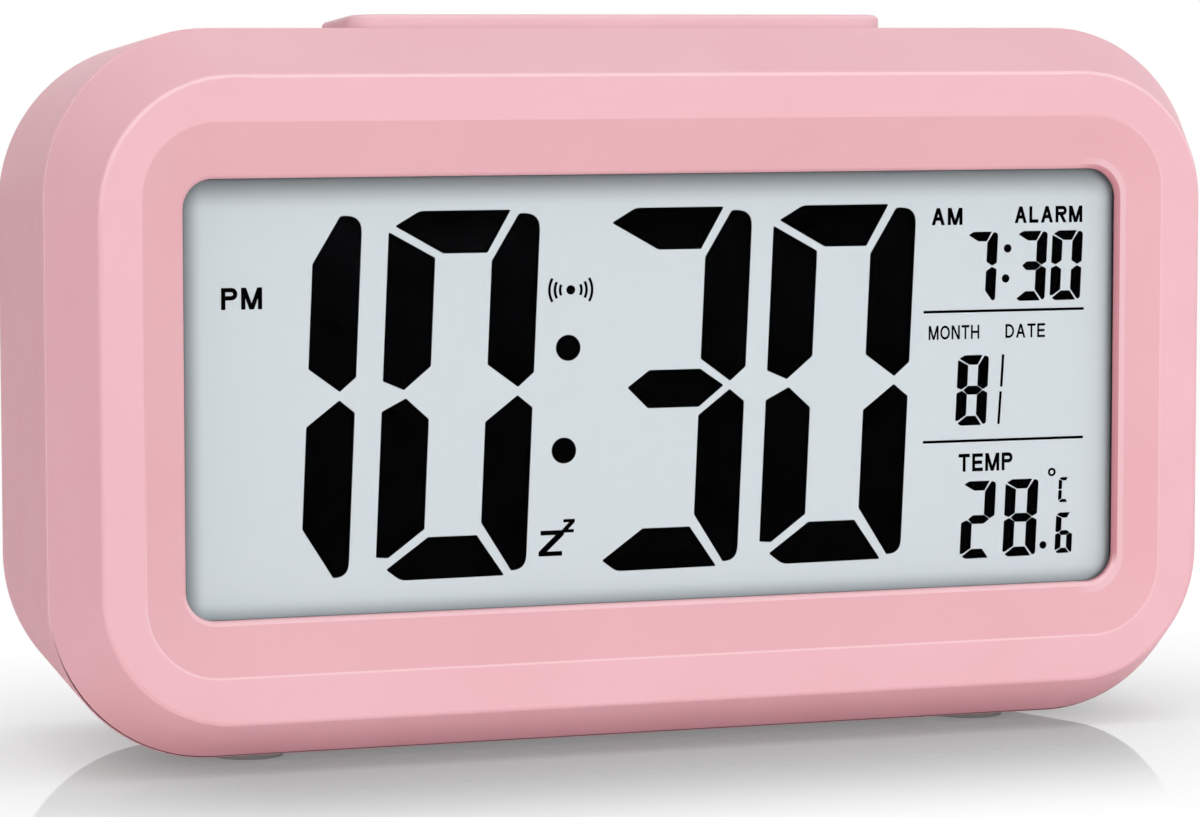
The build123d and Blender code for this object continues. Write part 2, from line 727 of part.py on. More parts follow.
def quartz_crystal():
    """Small round can lying on the board."""
    can = across(CRYSTAL_X, CHIP_Z, BOARD_END + CRYSTAL_R, CRYSTAL_R, CRYSTAL_L)
    return fillet(can.edges(), SMALL_ROUND)


def capacitor():
    return fillet(rod(CAP_X, CAP_Z, CAP_R, BOARD_END, BOARD_END + CAP_L).edges(), SMALL_ROUND)


def thermistor():
    """Bead on two legs that stands clear of the warm board."""
    body = Pos(SENSOR_X, FRONT + BOARD_END + CAP_L, MID + SENSOR_Z) * Sphere(SENSOR_R)
    for x in (SENSOR_X - LEG_PITCH / 2, SENSOR_X + LEG_PITCH / 2):
        body += rod(x, SENSOR_Z, LEG_R, BOARD_END, BOARD_END + CAP_L)
    return body


def key_board():
    sketch = Pos(0, KEY_Z) * RectangleRounded(KEY_BOARD_W, KEY_BOARD_H, CARD_R)
    body = plate(sketch, KEY_BOARD_FRONT, KEY_BOARD_BACK)
    for x in KEY_POST_XS:
        body -= rod(x, KEY_POST_HEIGHT, SMALL_SCREW_R + KEY_GAP, KEY_BOARD_FRONT, KEY_BOARD_BACK)
    return body


def key_switches():
    """Four tact switches, one behind each key."""
    switches = []
    for x in KEY_XS:
        half = SWITCH_SIDE / 2
        base = KEY_BOARD_BACK + SWITCH_T
        switch = block(x - half, x + half, KEY_BOARD_BACK, base, KEY_Z - half, KEY_Z + half)
        switches.append(switch + rod(x, KEY_Z, PLUNGER_R, base, base + PLUNGER_T))
    return Compound(switches)


def slide_switch():
    """Switch body with the slot that its lever runs in."""
    middle = SLIDER_X + SLIDER_TRAVEL / 2
    half, half_h = SWITCH_BODY_W / 2, SWITCH_BODY_H / 2
    top = KEY_BOARD_BACK + SWITCH_T
    body = block(middle - half, middle + half, KEY_BOARD_BACK, top, KEY_Z - half_h, KEY_Z + half_h)
    slot = (LEVER_W + SLIDER_TRAVEL) / 2 + SLIDER_SIDE_GAP
    side = LEVER_W / 2 + SLIDER_SIDE_GAP
    return body - block(middle - slot, middle + slot, top - LEVER_W, top, KEY_Z - side, KEY_Z + side)


def snooze_board():
    length = 2 * (SNOOZE_POST_X + SNOOZE_BOARD_RIM)
    low = SNOOZE_BOARD_TOP - SMALL_BOARD_T
    sketch = Pos(0, SNOOZE_MID) * RectangleRounded(length, BAR_DEPTH, CARD_R)
    body = extrude(floor_at(low) * sketch, amount=SMALL_BOARD_T)
    for x in (-SNOOZE_POST_X, SNOOZE_POST_X):
        body -= upright(x, SNOOZE_MID, SMALL_SCREW_R + KEY_GAP, low, SNOOZE_BOARD_TOP)
    return body


def snooze_switch():
    square = floor_at(SNOOZE_BOARD_TOP) * (Pos(0, SNOOZE_MID) * Rectangle(SWITCH_SIDE, SWITCH_SIDE))
    body = extrude(square, amount=SWITCH_T)
    return body + upright(0, SNOOZE_MID, PLUNGER_R, SNOOZE_BOARD_TOP + SWITCH_T, PLUNGER_TOP)


# Moving pieces

def snooze_bar():
    """Hollow bar with a flange that traps it under the top wall and a post over its switch."""
    body = extrude(floor_at(FLANGE_BOTTOM) * bar_plan(), amount=BAR_TOP - FLANGE_BOTTOM)
    wedge = Polyline((BAR_START, BAR_TOP), (BAR_END, BAR_TOP - BAR_FALL), (BAR_END, BAR_TOP), close=True)
    body -= extrude(side_at(-BAR_HALF) * make_face(wedge), amount=2 * BAR_HALF)
    rim = [edge for edge in body.edges() if edge.bounding_box().min.Z > MID + BAR_TOP - BAR_FALL - 0.01]
    body = fillet(rim, BAR_ROUND)
    inner_top = BAR_TOP - BAR_FALL - BAR_WALL
    body -= extrude(floor_at(FLANGE_BOTTOM) * bar_plan(-BAR_WALL), amount=inner_top - FLANGE_BOTTOM)
    flange = extrude(floor_at(FLANGE_BOTTOM) * bar_plan(FLANGE_OUT), amount=FLANGE_T)
    flange -= extrude(floor_at(FLANGE_BOTTOM) * bar_plan(-BAR_WALL), amount=FLANGE_T)
    body += flange
    post_end = PLUNGER_TOP + BAR_TRAVEL + PRESS_GAP
    body += upright(0, SNOOZE_MID, BAR_POST_R, post_end, inner_top + BAR_WALL / 2)
    rib = Pos(0, SNOOZE_MID) * Rectangle(BAR_RIB, BAR_DEPTH - BAR_WALL)
    for x in (-BAR_HALF / 2, BAR_HALF / 2):
        body += Pos(x, 0, 0) * extrude(floor_at(FLANGE_TOP) * rib, amount=inner_top + BAR_WALL / 2 - FLANGE_TOP)
    return body


def rear_key(x):
    """Key cap with the lip that traps it behind the rear wall and its short stem."""
    cap = Pos(x, KEY_Z) * RectangleRounded(KEY_W - 2 * KEY_GAP, KEY_H - 2 * KEY_GAP, KEY_R - KEY_GAP)
    body = plate(cap, KEY_LIP_BACK, CASE_D + KEY_PROUD)
    body = fillet(body.faces().sort_by(Axis.Y)[-1].edges(), KEY_ROUND)
    lip = Pos(x, KEY_Z) * RectangleRounded(KEY_W + 2 * KEY_LIP, KEY_H + 2 * KEY_LIP, KEY_R)
    body += plate(lip, KEY_LIP_FRONT, KEY_LIP_BACK)
    return body + rod(x, KEY_Z, STEM_R, STEM_END, KEY_LIP_FRONT)


def slider_knob():
    """Knob on a thin slide that always covers the slot."""
    half_w = SLIDER_W / 2
    slide_w = half_w + SLIDER_TRAVEL + KEY_LIP
    body = block(SLIDER_X - slide_w, SLIDER_X + slide_w, KEY_LIP_FRONT, KEY_LIP_BACK,
                 KEY_Z - SLIDER_H / 2 - KEY_LIP, KEY_Z + SLIDER_H / 2 + KEY_LIP)
    knob = block(SLIDER_X - half_w, SLIDER_X + half_w, KEY_LIP_BACK, CASE_D + SLIDER_PROUD,
                 KEY_Z - SLIDER_H / 2, KEY_Z + SLIDER_H / 2)
    knob = fillet(knob.faces().sort_by(Axis.Y)[-1].edges(), KEY_ROUND)
    return body + knob


def slider_lever():
    """Lever of the slide switch, standing in its slot."""
    half = LEVER_W / 2
    start = KEY_BOARD_BACK + SWITCH_T - LEVER_W + KEY_GAP
    return block(SLIDER_X - half, SLIDER_X + half, start, KEY_LIP_FRONT, KEY_Z - half, KEY_Z + half)


# Battery compartment

def cell(index):
    """AAA cell; every other one lies the other way round."""
    z = CELL_ZS[index]
    side = 1 if index % 2 == 0 else -1
    nub_end = side * (BAY_HALF_W - CONTACT_T)
    can_middle = nub_end - side * (NUB_L + (CELL_L - NUB_L) / 2)
    can = fillet(across(can_middle, z, CELL_T, CELL_R, CELL_L - NUB_L).edges(), CELL_ROUND)
    return can + across(nub_end - side * NUB_L / 2, z, CELL_T, NUB_R, NUB_L)


def contact_plate(side, z):
    """Plate against the end wall of the bay."""
    x0, x1 = sorted((side * BAY_HALF_W, side * (BAY_HALF_W - CONTACT_T)))
    return block(x0, x1, CELL_T - CONTACT_H / 2, CELL_T + CONTACT_H / 2, z - CONTACT_W / 2, z + CONTACT_W / 2)


def contact_spring(side, z):
    """Bowed leaf that presses on the flat end of a cell."""
    foot = side * (BAY_HALF_W - CONTACT_T)
    crown = side * (BAY_HALF_W - CONTACT_T - SPRING_L)
    low, high = CELL_T - CONTACT_H / 2, CELL_T + CONTACT_H / 2
    outer = ThreePointArc((foot, low), (crown, CELL_T), (foot, high))
    near, far = low + 2 * CONTACT_T, high - 2 * CONTACT_T
    inner = ThreePointArc((foot, far), (crown + side * CONTACT_T, CELL_T), (foot, near))
    outline = outer + Line(outer @ 1, inner @ 0) + inner + Line(inner @ 1, outer @ 0)
    return extrude(floor_at(z - SPRING_W / 2) * make_face(outline), amount=SPRING_W)


def contact_link(side, z_plate, z_spring):
    """One strip that carries a plate for one cell and a leaf for its neighbour."""
    x0, x1 = sorted((side * BAY_HALF_W, side * (BAY_HALF_W - CONTACT_T)))
    low, high = sorted((z_plate, z_spring))
    body = block(x0, x1, CELL_T - CONTACT_H / 4, CELL_T + CONTACT_H / 4, low, high)
    body += contact_plate(side, z_plate)
    return body + contact_plate(side, z_spring) + contact_spring(side, z_spring)


def contact_positive():
    return contact_plate(1, CELL_ZS[-1]) + solder_tab(1, CELL_ZS[-1])


def contact_link_left():
    return contact_link(-1, CELL_ZS[1], CELL_ZS[2])


def contact_link_right():
    return contact_link(1, CELL_ZS[0], CELL_ZS[1])


def contact_negative():
    return contact_plate(-1, CELL_ZS[0]) + contact_spring(-1, CELL_ZS[0]) + solder_tab(-1, CELL_ZS[0])


def battery_cover():
    """Flush cover that swings on two tabs at its lower edge and latches at the top."""
    body = bay_block(COVER_W, COVER_H, INNER_BACK, CASE_D)
    for x in (-TAB_X, TAB_X):
        x0, x1 = x - TAB_W / 2, x + TAB_W / 2
        tab_back = INNER_BACK - PRESS_GAP
        root = COVER_BOTTOM + TAB_ROOT
        body += block(x0, x1, tab_back - TAB_T, tab_back, COVER_BOTTOM - TAB_OUT, root)
        body += block(x0, x1, tab_back, INNER_BACK, COVER_BOTTOM, root)
    for x in (-LATCH_W / 2, LATCH_W / 2):
        body -= block(x - SLIT / 2, x + SLIT / 2, INNER_BACK, CASE_D, COVER_TOP - LATCH_L, COVER_TOP)
    for i in range(RIDGE_COUNT):
        z = COVER_TOP - LATCH_L / 4 - (2 * i + 1) * RIDGE_T
        body -= block(-LATCH_W / 4, LATCH_W / 4, CASE_D - RIDGE_T, CASE_D, z - RIDGE_T / 2, z + RIDGE_T / 2)
    return body


# Sounder, feet and screws

def buzzer():
    """Sounder in a plastic cup with its sound hole to the back."""
    body = rod(BUZZER_X, BUZZER_Z, BUZZER_R, INNER_BACK - BUZZER_T, INNER_BACK)
    body = fillet(body.faces().sort_by(Axis.Y)[0].edges(), KEY_ROUND)
    return body - rod(BUZZER_X, BUZZER_Z, 2 * SOUND_HOLE_R, INNER_BACK - BUZZER_T / 4, INNER_BACK)


def rubber_feet():
    feet = []
    for x, t in FOOT_PLACES:
        feet.append(upright(x, t, FOOT_R, -HALF_H - FOOT_PROUD, -HALF_H + FOOT_T - FOOT_PROUD))
    return Compound(feet)


def screw_set(places, seat, bite, radius, head_r, head_t):
    """Screws with heads behind depth seat and shanks running forwards from it."""
    screws = []
    for x, z in places:
        screws.append(rod(x, z, head_r, seat, seat + head_t) + rod(x, z, radius, seat - bite, seat))
    return Compound(screws)


def case_screws():
    seat = BOSS_END + SCREW_SEAT
    bite = SCREW_SEAT + SCREW_BITE - TIP_GAP
    return screw_set(SCREW_PLACES, seat, bite, SCREW_R, SCREW_HEAD_R, SCREW_HEAD_T)


def board_screws():
    bite = BOARD_T + SMALL_BITE - TIP_GAP
    return screw_set(POST_PLACES, BOARD_END, bite, SMALL_SCREW_R, SMALL_HEAD_R, SMALL_HEAD_T)


def key_board_screws():
    """Screws from the front of the key board into the posts on the rear wall."""
    screws = []
    tip = KEY_BOARD_BACK + SMALL_BITE - TIP_GAP
    for x in KEY_POST_XS:
        head = rod(x, KEY_POST_HEIGHT, SMALL_HEAD_R, KEY_BOARD_FRONT - SMALL_HEAD_T, KEY_BOARD_FRONT)
        shank = rod(x, KEY_POST_HEIGHT, SMALL_SCREW_R, KEY_BOARD_FRONT, tip)
        screws.append(head + shank)
    return Compound(screws)


def snooze_board_screws():
    """Screws from below the snooze board into the posts under the top wall."""
    screws = []
    low = SNOOZE_BOARD_TOP - SMALL_BOARD_T
    for x in (-SNOOZE_POST_X, SNOOZE_POST_X):
        head = upright(x, SNOOZE_MID, SMALL_HEAD_R, low - SMALL_HEAD_T, low)
        shank = upright(x, SNOOZE_MID, SMALL_SCREW_R, low, SNOOZE_BOARD_TOP + SMALL_BITE - TIP_GAP)
        screws.append(head + shank)
    return Compound(screws)


# Leads

def spot(x, t, z):
    return (x, FRONT + t, MID + z)


def route(points):
    """Path through the points with each corner rounded as far as its runs allow."""
    radii = []
    for a, b, c in zip(points, points[1:], points[2:]):
        first, second = Vector(*b) - Vector(*a), Vector(*c) - Vector(*b)
        turn = radians(first.get_angle(second))
        radii.append(0.45 * min(first.length, second.length) / tan(turn / 2))
    return FilletPolyline(*points, radius=radii)


def key_ribbon():
    """Flat ribbon from the key board to the main board."""
    z = KEY_Z - KEY_BOARD_H / 4
    start, end = KEY_BOARD_FRONT, BOARD_END
    bends = [(start, 0), (start - LEAD_OUT, 0), ((start + end) / 2, RIBBON_SAG), (end + LEAD_OUT, 0), (end, 0)]
    points = [spot(RIBBON_X, t, z - sag) for t, sag in bends]
    strip = face_at(start) * (Pos(RIBBON_X, z) * Rectangle(RIBBON_W, RIBBON_T))
    return sweep(strip, path=route(points))


def lead(points):
    """Round insulated wire along a route."""
    line = route([spot(*point) for point in points])
    return sweep(Plane(origin=line @ 0, z_dir=line % 0) * Circle(LEAD_R), path=line)


def battery_lead(side, z):
    """Lead from a solder tab beside the bay to the main board."""
    x = BAY_HALF_W + BAY_WALL + SOLDER_OUT
    t = CONTACT_START + CONTACT_T / 2
    middle = (t + BOARD_END) / 2
    points = [(x, t, z), (x + LEAD_OUT, t, z), (x + LEAD_OUT + LEAD_SWAY, middle, z + LEAD_SWAY)]
    points += [(x + LEAD_OUT, BOARD_END + LEAD_OUT, z + LEAD_RISE), (x + LEAD_OUT, BOARD_END, z + LEAD_RISE)]
    return lead([(side * px, pt, pz) for px, pt, pz in points])


def buzzer_leads():
    leads = []
    t, z = INNER_BACK - BUZZER_T, BUZZER_Z - LEAD_PITCH
    for x in (BUZZER_X - LEAD_PITCH / 2, BUZZER_X + LEAD_PITCH / 2):
        points = [(x, t, z), (x, t - LEAD_OUT, z), (x - LEAD_SWAY, (t + BOARD_END) / 2, z + LEAD_RISE)]
        points += [(x, BOARD_END + LEAD_OUT, z + LEAD_DROP), (x, BOARD_END, z + LEAD_DROP)]
        leads.append(lead(points))
    return Compound(leads)


def snooze_leads():
    leads = []
    z = SNOOZE_BOARD_TOP - SMALL_BOARD_T
    for x in (BAR_HALF / 2, BAR_HALF / 2 + LEAD_PITCH):
        points = [(x, SNOOZE_MID, z), (x, SNOOZE_MID, z - LEAD_DROP)]
        points += [(x, BOARD_END + LEAD_DROP, z - 2 * LEAD_DROP), (x, BOARD_END, z - 2 * LEAD_DROP)]
        leads.append(lead(points))
    return Compound(leads)


PIECES = {
    "front_bezel": front_bezel,
    "rear_housing": rear_housing,
    "display_lens": display_lens,
    "display_gasket": display_gasket,
    "front_polariser": front_polariser,
    "lcd_cell": lcd_cell,
    "rear_polariser": rear_polariser,
    "diffuser_film": diffuser_film,
    "light_guide": light_guide,
    "reflector_sheet": reflector_sheet,
    "led_board": led_board,
    "backlight_leds": backlight_leds,
    "backlight_tray": backlight_tray,
    "contact_strip": contact_strip,
    "main_board": main_board,
    "clock_chip": clock_chip,
    "quartz_crystal": quartz_crystal,
    "capacitor": capacitor,
    "thermistor": thermistor,
    "key_board": key_board,
    "key_switches": key_switches,
    "slide_switch": slide_switch,
    "snooze_board": snooze_board,
    "snooze_switch": snooze_switch,
    "snooze_bar": snooze_bar,
    "mode_key": lambda: rear_key(KEY_XS[0]),
    "set_key": lambda: rear_key(KEY_XS[1]),
    "up_key": lambda: rear_key(KEY_XS[2]),
    "down_key": lambda: rear_key(KEY_XS[3]),
    "slider_knob": slider_knob,
    "slider_lever": slider_lever,
    "cell_bottom": lambda: cell(0),
    "cell_middle": lambda: cell(1),
    "cell_top": lambda: cell(2),
    "contact_positive": contact_positive,
    "contact_link_left": contact_link_left,
    "contact_link_right": contact_link_right,
    "contact_negative": contact_negative,
    "battery_cover": battery_cover,
    "buzzer": buzzer,
    "rubber_feet": rubber_feet,
    "case_screws": case_screws,
    "board_screws": board_screws,
    "key_board_screws": key_board_screws,
    "snooze_board_screws": snooze_board_screws,
    "key_ribbon": key_ribbon,
    "battery_lead_red": lambda: battery_lead(1, CELL_ZS[-1]),
    "battery_lead_black": lambda: battery_lead(-1, CELL_ZS[0]),
    "buzzer_leads": buzzer_leads,
    "snooze_leads": snooze_leads,
}

for name, make in PIECES.items():
    export_step(make(), f"parts/{name}.step")
print(len(PIECES), "parts written")
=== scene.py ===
# %% [markdown]
# # A pink digital alarm clock
#
# This lesson dresses a small desk clock. Its case is a low, wide moulding in pink ABS with a chamfered
# front, and a large liquid crystal display sits in a recess behind a clear lens. The solids arrive as a
# fixed frame with every piece at its real size and place, so the work here is light, finish and the fine
# things that a solid leaves out: ink on the display, lettering and the jackets of the battery cells.

# %% Load the solids
import bmesh
import bpy
import json
from math import cos, hypot, pi, radians, sin, tan
from mathutils import Matrix, Vector


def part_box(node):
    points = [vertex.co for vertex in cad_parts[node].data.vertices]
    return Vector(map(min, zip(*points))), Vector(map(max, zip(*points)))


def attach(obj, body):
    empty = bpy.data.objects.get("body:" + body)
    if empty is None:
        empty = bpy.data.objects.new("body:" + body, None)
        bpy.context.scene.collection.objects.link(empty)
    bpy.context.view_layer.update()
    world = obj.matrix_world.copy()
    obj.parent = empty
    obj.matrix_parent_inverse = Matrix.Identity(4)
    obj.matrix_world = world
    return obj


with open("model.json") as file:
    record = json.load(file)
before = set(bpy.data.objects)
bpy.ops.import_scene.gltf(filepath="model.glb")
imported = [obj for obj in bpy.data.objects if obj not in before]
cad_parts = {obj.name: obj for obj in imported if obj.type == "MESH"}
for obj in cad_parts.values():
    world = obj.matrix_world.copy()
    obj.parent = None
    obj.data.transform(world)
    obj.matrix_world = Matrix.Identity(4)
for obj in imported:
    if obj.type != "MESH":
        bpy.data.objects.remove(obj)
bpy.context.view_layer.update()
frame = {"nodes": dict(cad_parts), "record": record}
nodes = frame["nodes"]
MM = 0.001

# %% [markdown]
# ## The camera
#
# A product photograph is usually taken with a long lens, because it keeps parallel edges almost parallel.
# The camera could be moved by eye until the picture looks right, but a turn that is half a degree out
# shows in every long edge. Its place and turn were therefore fitted to the edges of the clock, so that the
# clock fills the picture as it does in the photograph. The picture needs no lens shift.

# %% Camera
CAMERA_PLACE = Vector((-172.98, -480.44, 79.86)) * MM
CAMERA_YAW = 19.760
CAMERA_PITCH = 4.859
CAMERA_ROLL = -0.026
CAMERA_LENS = 133.3
SENSOR_WIDTH = 36.0
NEAREST_SEEN = 0.01


def camera_turn(yaw, pitch, roll):
    """Turn of a camera that looks along +Y, then right by yaw, down by pitch and round by roll."""
    ahead = Vector((sin(yaw) * cos(pitch), cos(yaw) * cos(pitch), -sin(pitch)))
    right = Vector((cos(yaw), -sin(yaw), 0))
    up = right.cross(ahead)
    level = right * cos(roll) + up * sin(roll)
    upright = up * cos(roll) - right * sin(roll)
    return Matrix((level, upright, -ahead)).transposed()


scene = bpy.context.scene
camera_data = bpy.data.cameras.new("camera")
camera_data.lens = CAMERA_LENS
camera_data.sensor_width = SENSOR_WIDTH
camera_data.sensor_fit = "HORIZONTAL"
camera_data.clip_start = NEAREST_SEEN
camera = bpy.data.objects.new("camera", camera_data)
turn = camera_turn(radians(CAMERA_YAW), radians(CAMERA_PITCH), radians(CAMERA_ROLL))
camera.matrix_world = Matrix.Translation(CAMERA_PLACE) @ turn.to_4x4()
scene.collection.objects.link(camera)
scene.camera = camera
print("camera at", [round(value, 4) for value in camera.location])

# %% [markdown]
# ## Colours and shader nodes
#
# A colour read off a screen is sRGB, and a shader works in linear light, so one function turns one into
# the other. Nodes could be added one by one in the shader editor. Here one function adds a node with its
# settings and links, which keeps each material down to a few lines that read like a recipe.

# %% Helpers for materials
def linear(code):
    """Linear colour of an sRGB hex code."""
    parts = [int(code[i:i + 2], 16) / 255 for i in (1, 3, 5)]
    return tuple(p / 12.92 if p <= 0.04045 else ((p + 0.055) / 1.055) ** 2.4 for p in parts) + (1.0,)


def add(tree, kind, links=(), **settings):
    """Shader node with its settings; links pairs an input with the socket or the constant that it takes."""
    made = tree.nodes.new("ShaderNode" + kind)
    for name, value in settings.items():
        if name in made.bl_rna.properties:
            setattr(made, name, value)
        else:
            made.inputs[name.replace("_", " ")].default_value = value
    for name, source in links:
        if isinstance(source, bpy.types.NodeSocket):
            tree.links.new(source, made.inputs[name])
        else:
            made.inputs[name].default_value = source
    return made


def per_mm(size):
    """Texture scale that gives features of this many millimetres."""
    return 1 / (size * MM)


def material(name):
    """Empty material and its node tree."""
    made = bpy.data.materials.new(name)
    made.use_nodes = True
    made.node_tree.nodes.clear()
    return made, made.node_tree


print("white is", linear("#FFFFFF"))

# %% Patches and grain
# Blender's noise seldom leaves this range
NOISE_LOW, NOISE_HIGH = 0.3, 0.7
# A Mix node takes its two colours at the first two of these sockets and gives the result at the third
FIRST, SECOND, MIXED = 6, 7, 2


def mottle(tree, size, low, high):
    """Soft patches of the given size between two values, in the piece's own space."""
    place = add(tree, "TexCoord")
    noise = add(tree, "TexNoise", [("Vector", place.outputs["Object"])], Scale=per_mm(size), Detail=2.0)
    spread = add(tree, "MapRange", [("Value", noise.outputs["Fac"])], clamp=False,
                 From_Min=NOISE_LOW, From_Max=NOISE_HIGH, To_Min=low, To_Max=high)
    return spread.outputs["Result"]


def grain(tree, size, height):
    """Bump of fine grains: size across and height, in millimetres."""
    place = add(tree, "TexCoord")
    noise = add(tree, "TexNoise", [("Vector", place.outputs["Object"])], Scale=per_mm(size), Detail=3.0)
    bump = add(tree, "Bump", [("Height", noise.outputs["Fac"])], Strength=1.0, Distance=height * MM)
    return bump.outputs["Normal"]


print("features of 1 mm need a texture scale of", round(per_mm(1.0)))

# %% [markdown]
# ## The room
#
# The photograph is a plain studio picture in a white room. Walls could be built, but none would show, so a
# white world stands for them. It is white for the eye, for gloss and for clear plastic, and it gives the
# clock less light than it shows, so that the soft boxes still shape the case.

# %% Room
# Share of its white that lights the clock
ROOM_LIGHT = 0.15


def room():
    """White world for the eye and for gloss, and a dimmer one for light."""
    world = bpy.data.worlds.new("room")
    scene.world = world
    world.use_nodes = True
    tree = world.node_tree
    tree.nodes.clear()
    path = add(tree, "LightPath")
    seen = path.outputs["Is Camera Ray"]
    for kind in ("Is Transmission Ray", "Is Glossy Ray"):
        seen = add(tree, "Math", [(0, seen), (1, path.outputs[kind])], operation="MAXIMUM").outputs[0]
    strength = add(tree, "MapRange", [("Value", seen)], To_Min=ROOM_LIGHT, To_Max=1.0)
    light = add(tree, "Background", [("Strength", strength.outputs["Result"])], Color=linear("#FFFFFF"))
    add(tree, "OutputWorld", [("Surface", light.outputs[0])])


scene.view_settings.view_transform = "Standard"
room()
print("room light", ROOM_LIGHT)

# %% [markdown]
# ## The table
#
# The clock stands on a glossy white table that takes its shadow and shows its mirror image. A single
# glossy white would also mirror the white room, and the shadow would drown in it. The table is therefore
# mixed from parts: a matt part takes the shade, a polished part mirrors the clock, and an even glow stands
# for the room in the polish. A little way off it turns into the plain white room, so no horizon shows.

# %% Table
# Half of its width, and how far off it starts to turn into the room and has turned, in metres
TABLE_REACH = 4.0
TABLE_NEAR, TABLE_FAR = 0.13, 0.30
TABLE_SHADE = (0.20, 0.21, 0.21, 1.0)
TABLE_POLISH = (0.84, 0.84, 0.84, 1.0)
TABLE_ROUGHNESS = 0.03
# Colour of the light that the table sends back up to the clock
TABLE_BOUNCE = "#F4EDEE"
# How far the clock keeps the room's light off the table, and what is left right beside it
CONTACT_REACH, CONTACT_LEFT, CONTACT_SAMPLES = 0.06, 0.5, 8
# Along each axis, the distances from the clock's middle where the mirror image starts to fade and stops
# fading, and the share of the polish that mirrors before and after
MIRROR_FADES = (("X", 0.045, 0.075, 1.00, 0.60), ("Y", 0.026, 0.075, 0.80, 0.00))


def mirror_share(tree, place):
    """How much of the polish mirrors: most under the clock, less in front of it and past its ends."""
    axes = add(tree, "SeparateXYZ", [(0, place.outputs["Object"])])
    share = 1.0
    for axis, near, far, first, last in MIRROR_FADES:
        off = add(tree, "Math", [(0, axes.outputs[axis])], operation="ABSOLUTE")
        fade = add(tree, "MapRange", [("Value", off.outputs[0])], interpolation_type="SMOOTHSTEP",
                   From_Min=near, From_Max=far, To_Min=first, To_Max=last)
        share = add(tree, "Math", [(0, share), (1, fade.outputs[0])], operation="MULTIPLY").outputs[0]
    return share


def table_material():
    """Glossy white table: part of it takes shade, part mirrors what stands on it, and the rest just glows."""
    made, tree = material("glossy_white_table")
    seen_by_eye = add(tree, "LightPath").outputs["Is Camera Ray"]
    place = add(tree, "TexCoord")
    mirror = add(tree, "BsdfGlossy", Color=TABLE_POLISH, Roughness=TABLE_ROUGHNESS)
    glow = add(tree, "Emission", Color=TABLE_POLISH, Strength=1.0)
    shade = add(tree, "BsdfDiffuse", Color=TABLE_SHADE)
    mirrors = mirror_share(tree, place)
    polish = add(tree, "MixShader", [(0, mirrors), (1, glow.outputs[0]), (2, mirror.outputs[0])])
    open_table = add(tree, "AddShader", [(0, shade.outputs[0]), (1, polish.outputs[0])])
    open_sky = add(tree, "AmbientOcclusion", Distance=CONTACT_REACH, samples=CONTACT_SAMPLES)
    left = add(tree, "MapRange", [("Value", open_sky.outputs["AO"])], To_Min=CONTACT_LEFT, To_Max=1.0)
    near = add(tree, "MixShader", [(0, left.outputs["Result"]), (2, open_table.outputs[0])])
    away = add(tree, "VectorMath", [(0, place.outputs["Object"])], operation="LENGTH")
    fade = add(tree, "MapRange", [("Value", away.outputs["Value"])], interpolation_type="SMOOTHSTEP",
               From_Min=TABLE_NEAR, From_Max=TABLE_FAR)
    far = add(tree, "Emission", Color=linear("#FFFFFF"), Strength=1.0)
    seen = add(tree, "MixShader", [(0, fade.outputs["Result"]), (1, near.outputs[0]), (2, far.outputs[0])])
    bounce = add(tree, "BsdfDiffuse", Color=linear(TABLE_BOUNCE))
    shader = add(tree, "MixShader", [(0, seen_by_eye), (1, bounce.outputs[0]), (2, seen.outputs[0])])
    add(tree, "OutputMaterial", [("Surface", shader.outputs[0])])
    return made


def table():
    """Flat table, wide enough for every view."""
    mesh = bpy.data.meshes.new("table")
    corners = [(x * TABLE_REACH, y * TABLE_REACH, 0) for x, y in ((-1, -1), (1, -1), (1, 1), (-1, 1))]
    mesh.from_pydata(corners, [], [(0, 1, 2, 3)])
    mesh.materials.append(table_material())
    made = bpy.data.objects.new("table", mesh)
    scene.collection.objects.link(made)
    return made


print("table reaches", table().dimensions.x, "m across")

# %% [markdown]
# ## The lamps
#
# The light comes from large soft boxes. The front ring, the top and the right end are the brightest, the
# left end is duller and the chamfer underneath is the darkest. Spot lamps would draw hard shadows, so each
# box is a square area lamp that faces the clock, and the powers were matched to the sides of the case.

# %% Lamps
CLOCK_MIDDLE = Vector((0, 0, 0.04))
# Place and side in metres, power in watts, and colour
LAMPS = {
    "low_front_softbox": ((0.05, -1.30, 0.10), 0.60, 12.0, "#FFFFFF"),
    "right_front_softbox": ((0.95, -0.95, 0.45), 0.80, 2.5, "#FFFFFF"),
    "left_softbox": ((-1.25, -0.30, 0.12), 0.50, 6.1, "#FFEFF1"),
    "top_softbox": ((0.20, -0.18, 1.27), 0.90, 7.5, "#FFFBFC"),
    "top_back_softbox": ((0.05, 0.70, 1.15), 0.90, 2.5, "#FFFFFF"),
    "back_softbox": ((0.45, 1.25, 0.45), 0.70, 4.0, "#FFFFFF"),
}


def lamp(name, place, size, power, colour):
    """Square soft box that faces the clock."""
    data = bpy.data.lights.new(name, "AREA")
    data.shape = "SQUARE"
    data.size = size
    data.energy = power
    data.color = linear(colour)[:3]
    made = bpy.data.objects.new(name, data)
    made.location = Vector(place)
    made.rotation_euler = (CLOCK_MIDDLE - made.location).to_track_quat("-Z", "Y").to_euler()
    # The table would show each soft box as a hard white patch
    made.visible_glossy = False
    scene.collection.objects.link(made)
    return made


for name, setting in LAMPS.items():
    lamp(name, *setting)
print(len(LAMPS), "soft boxes")

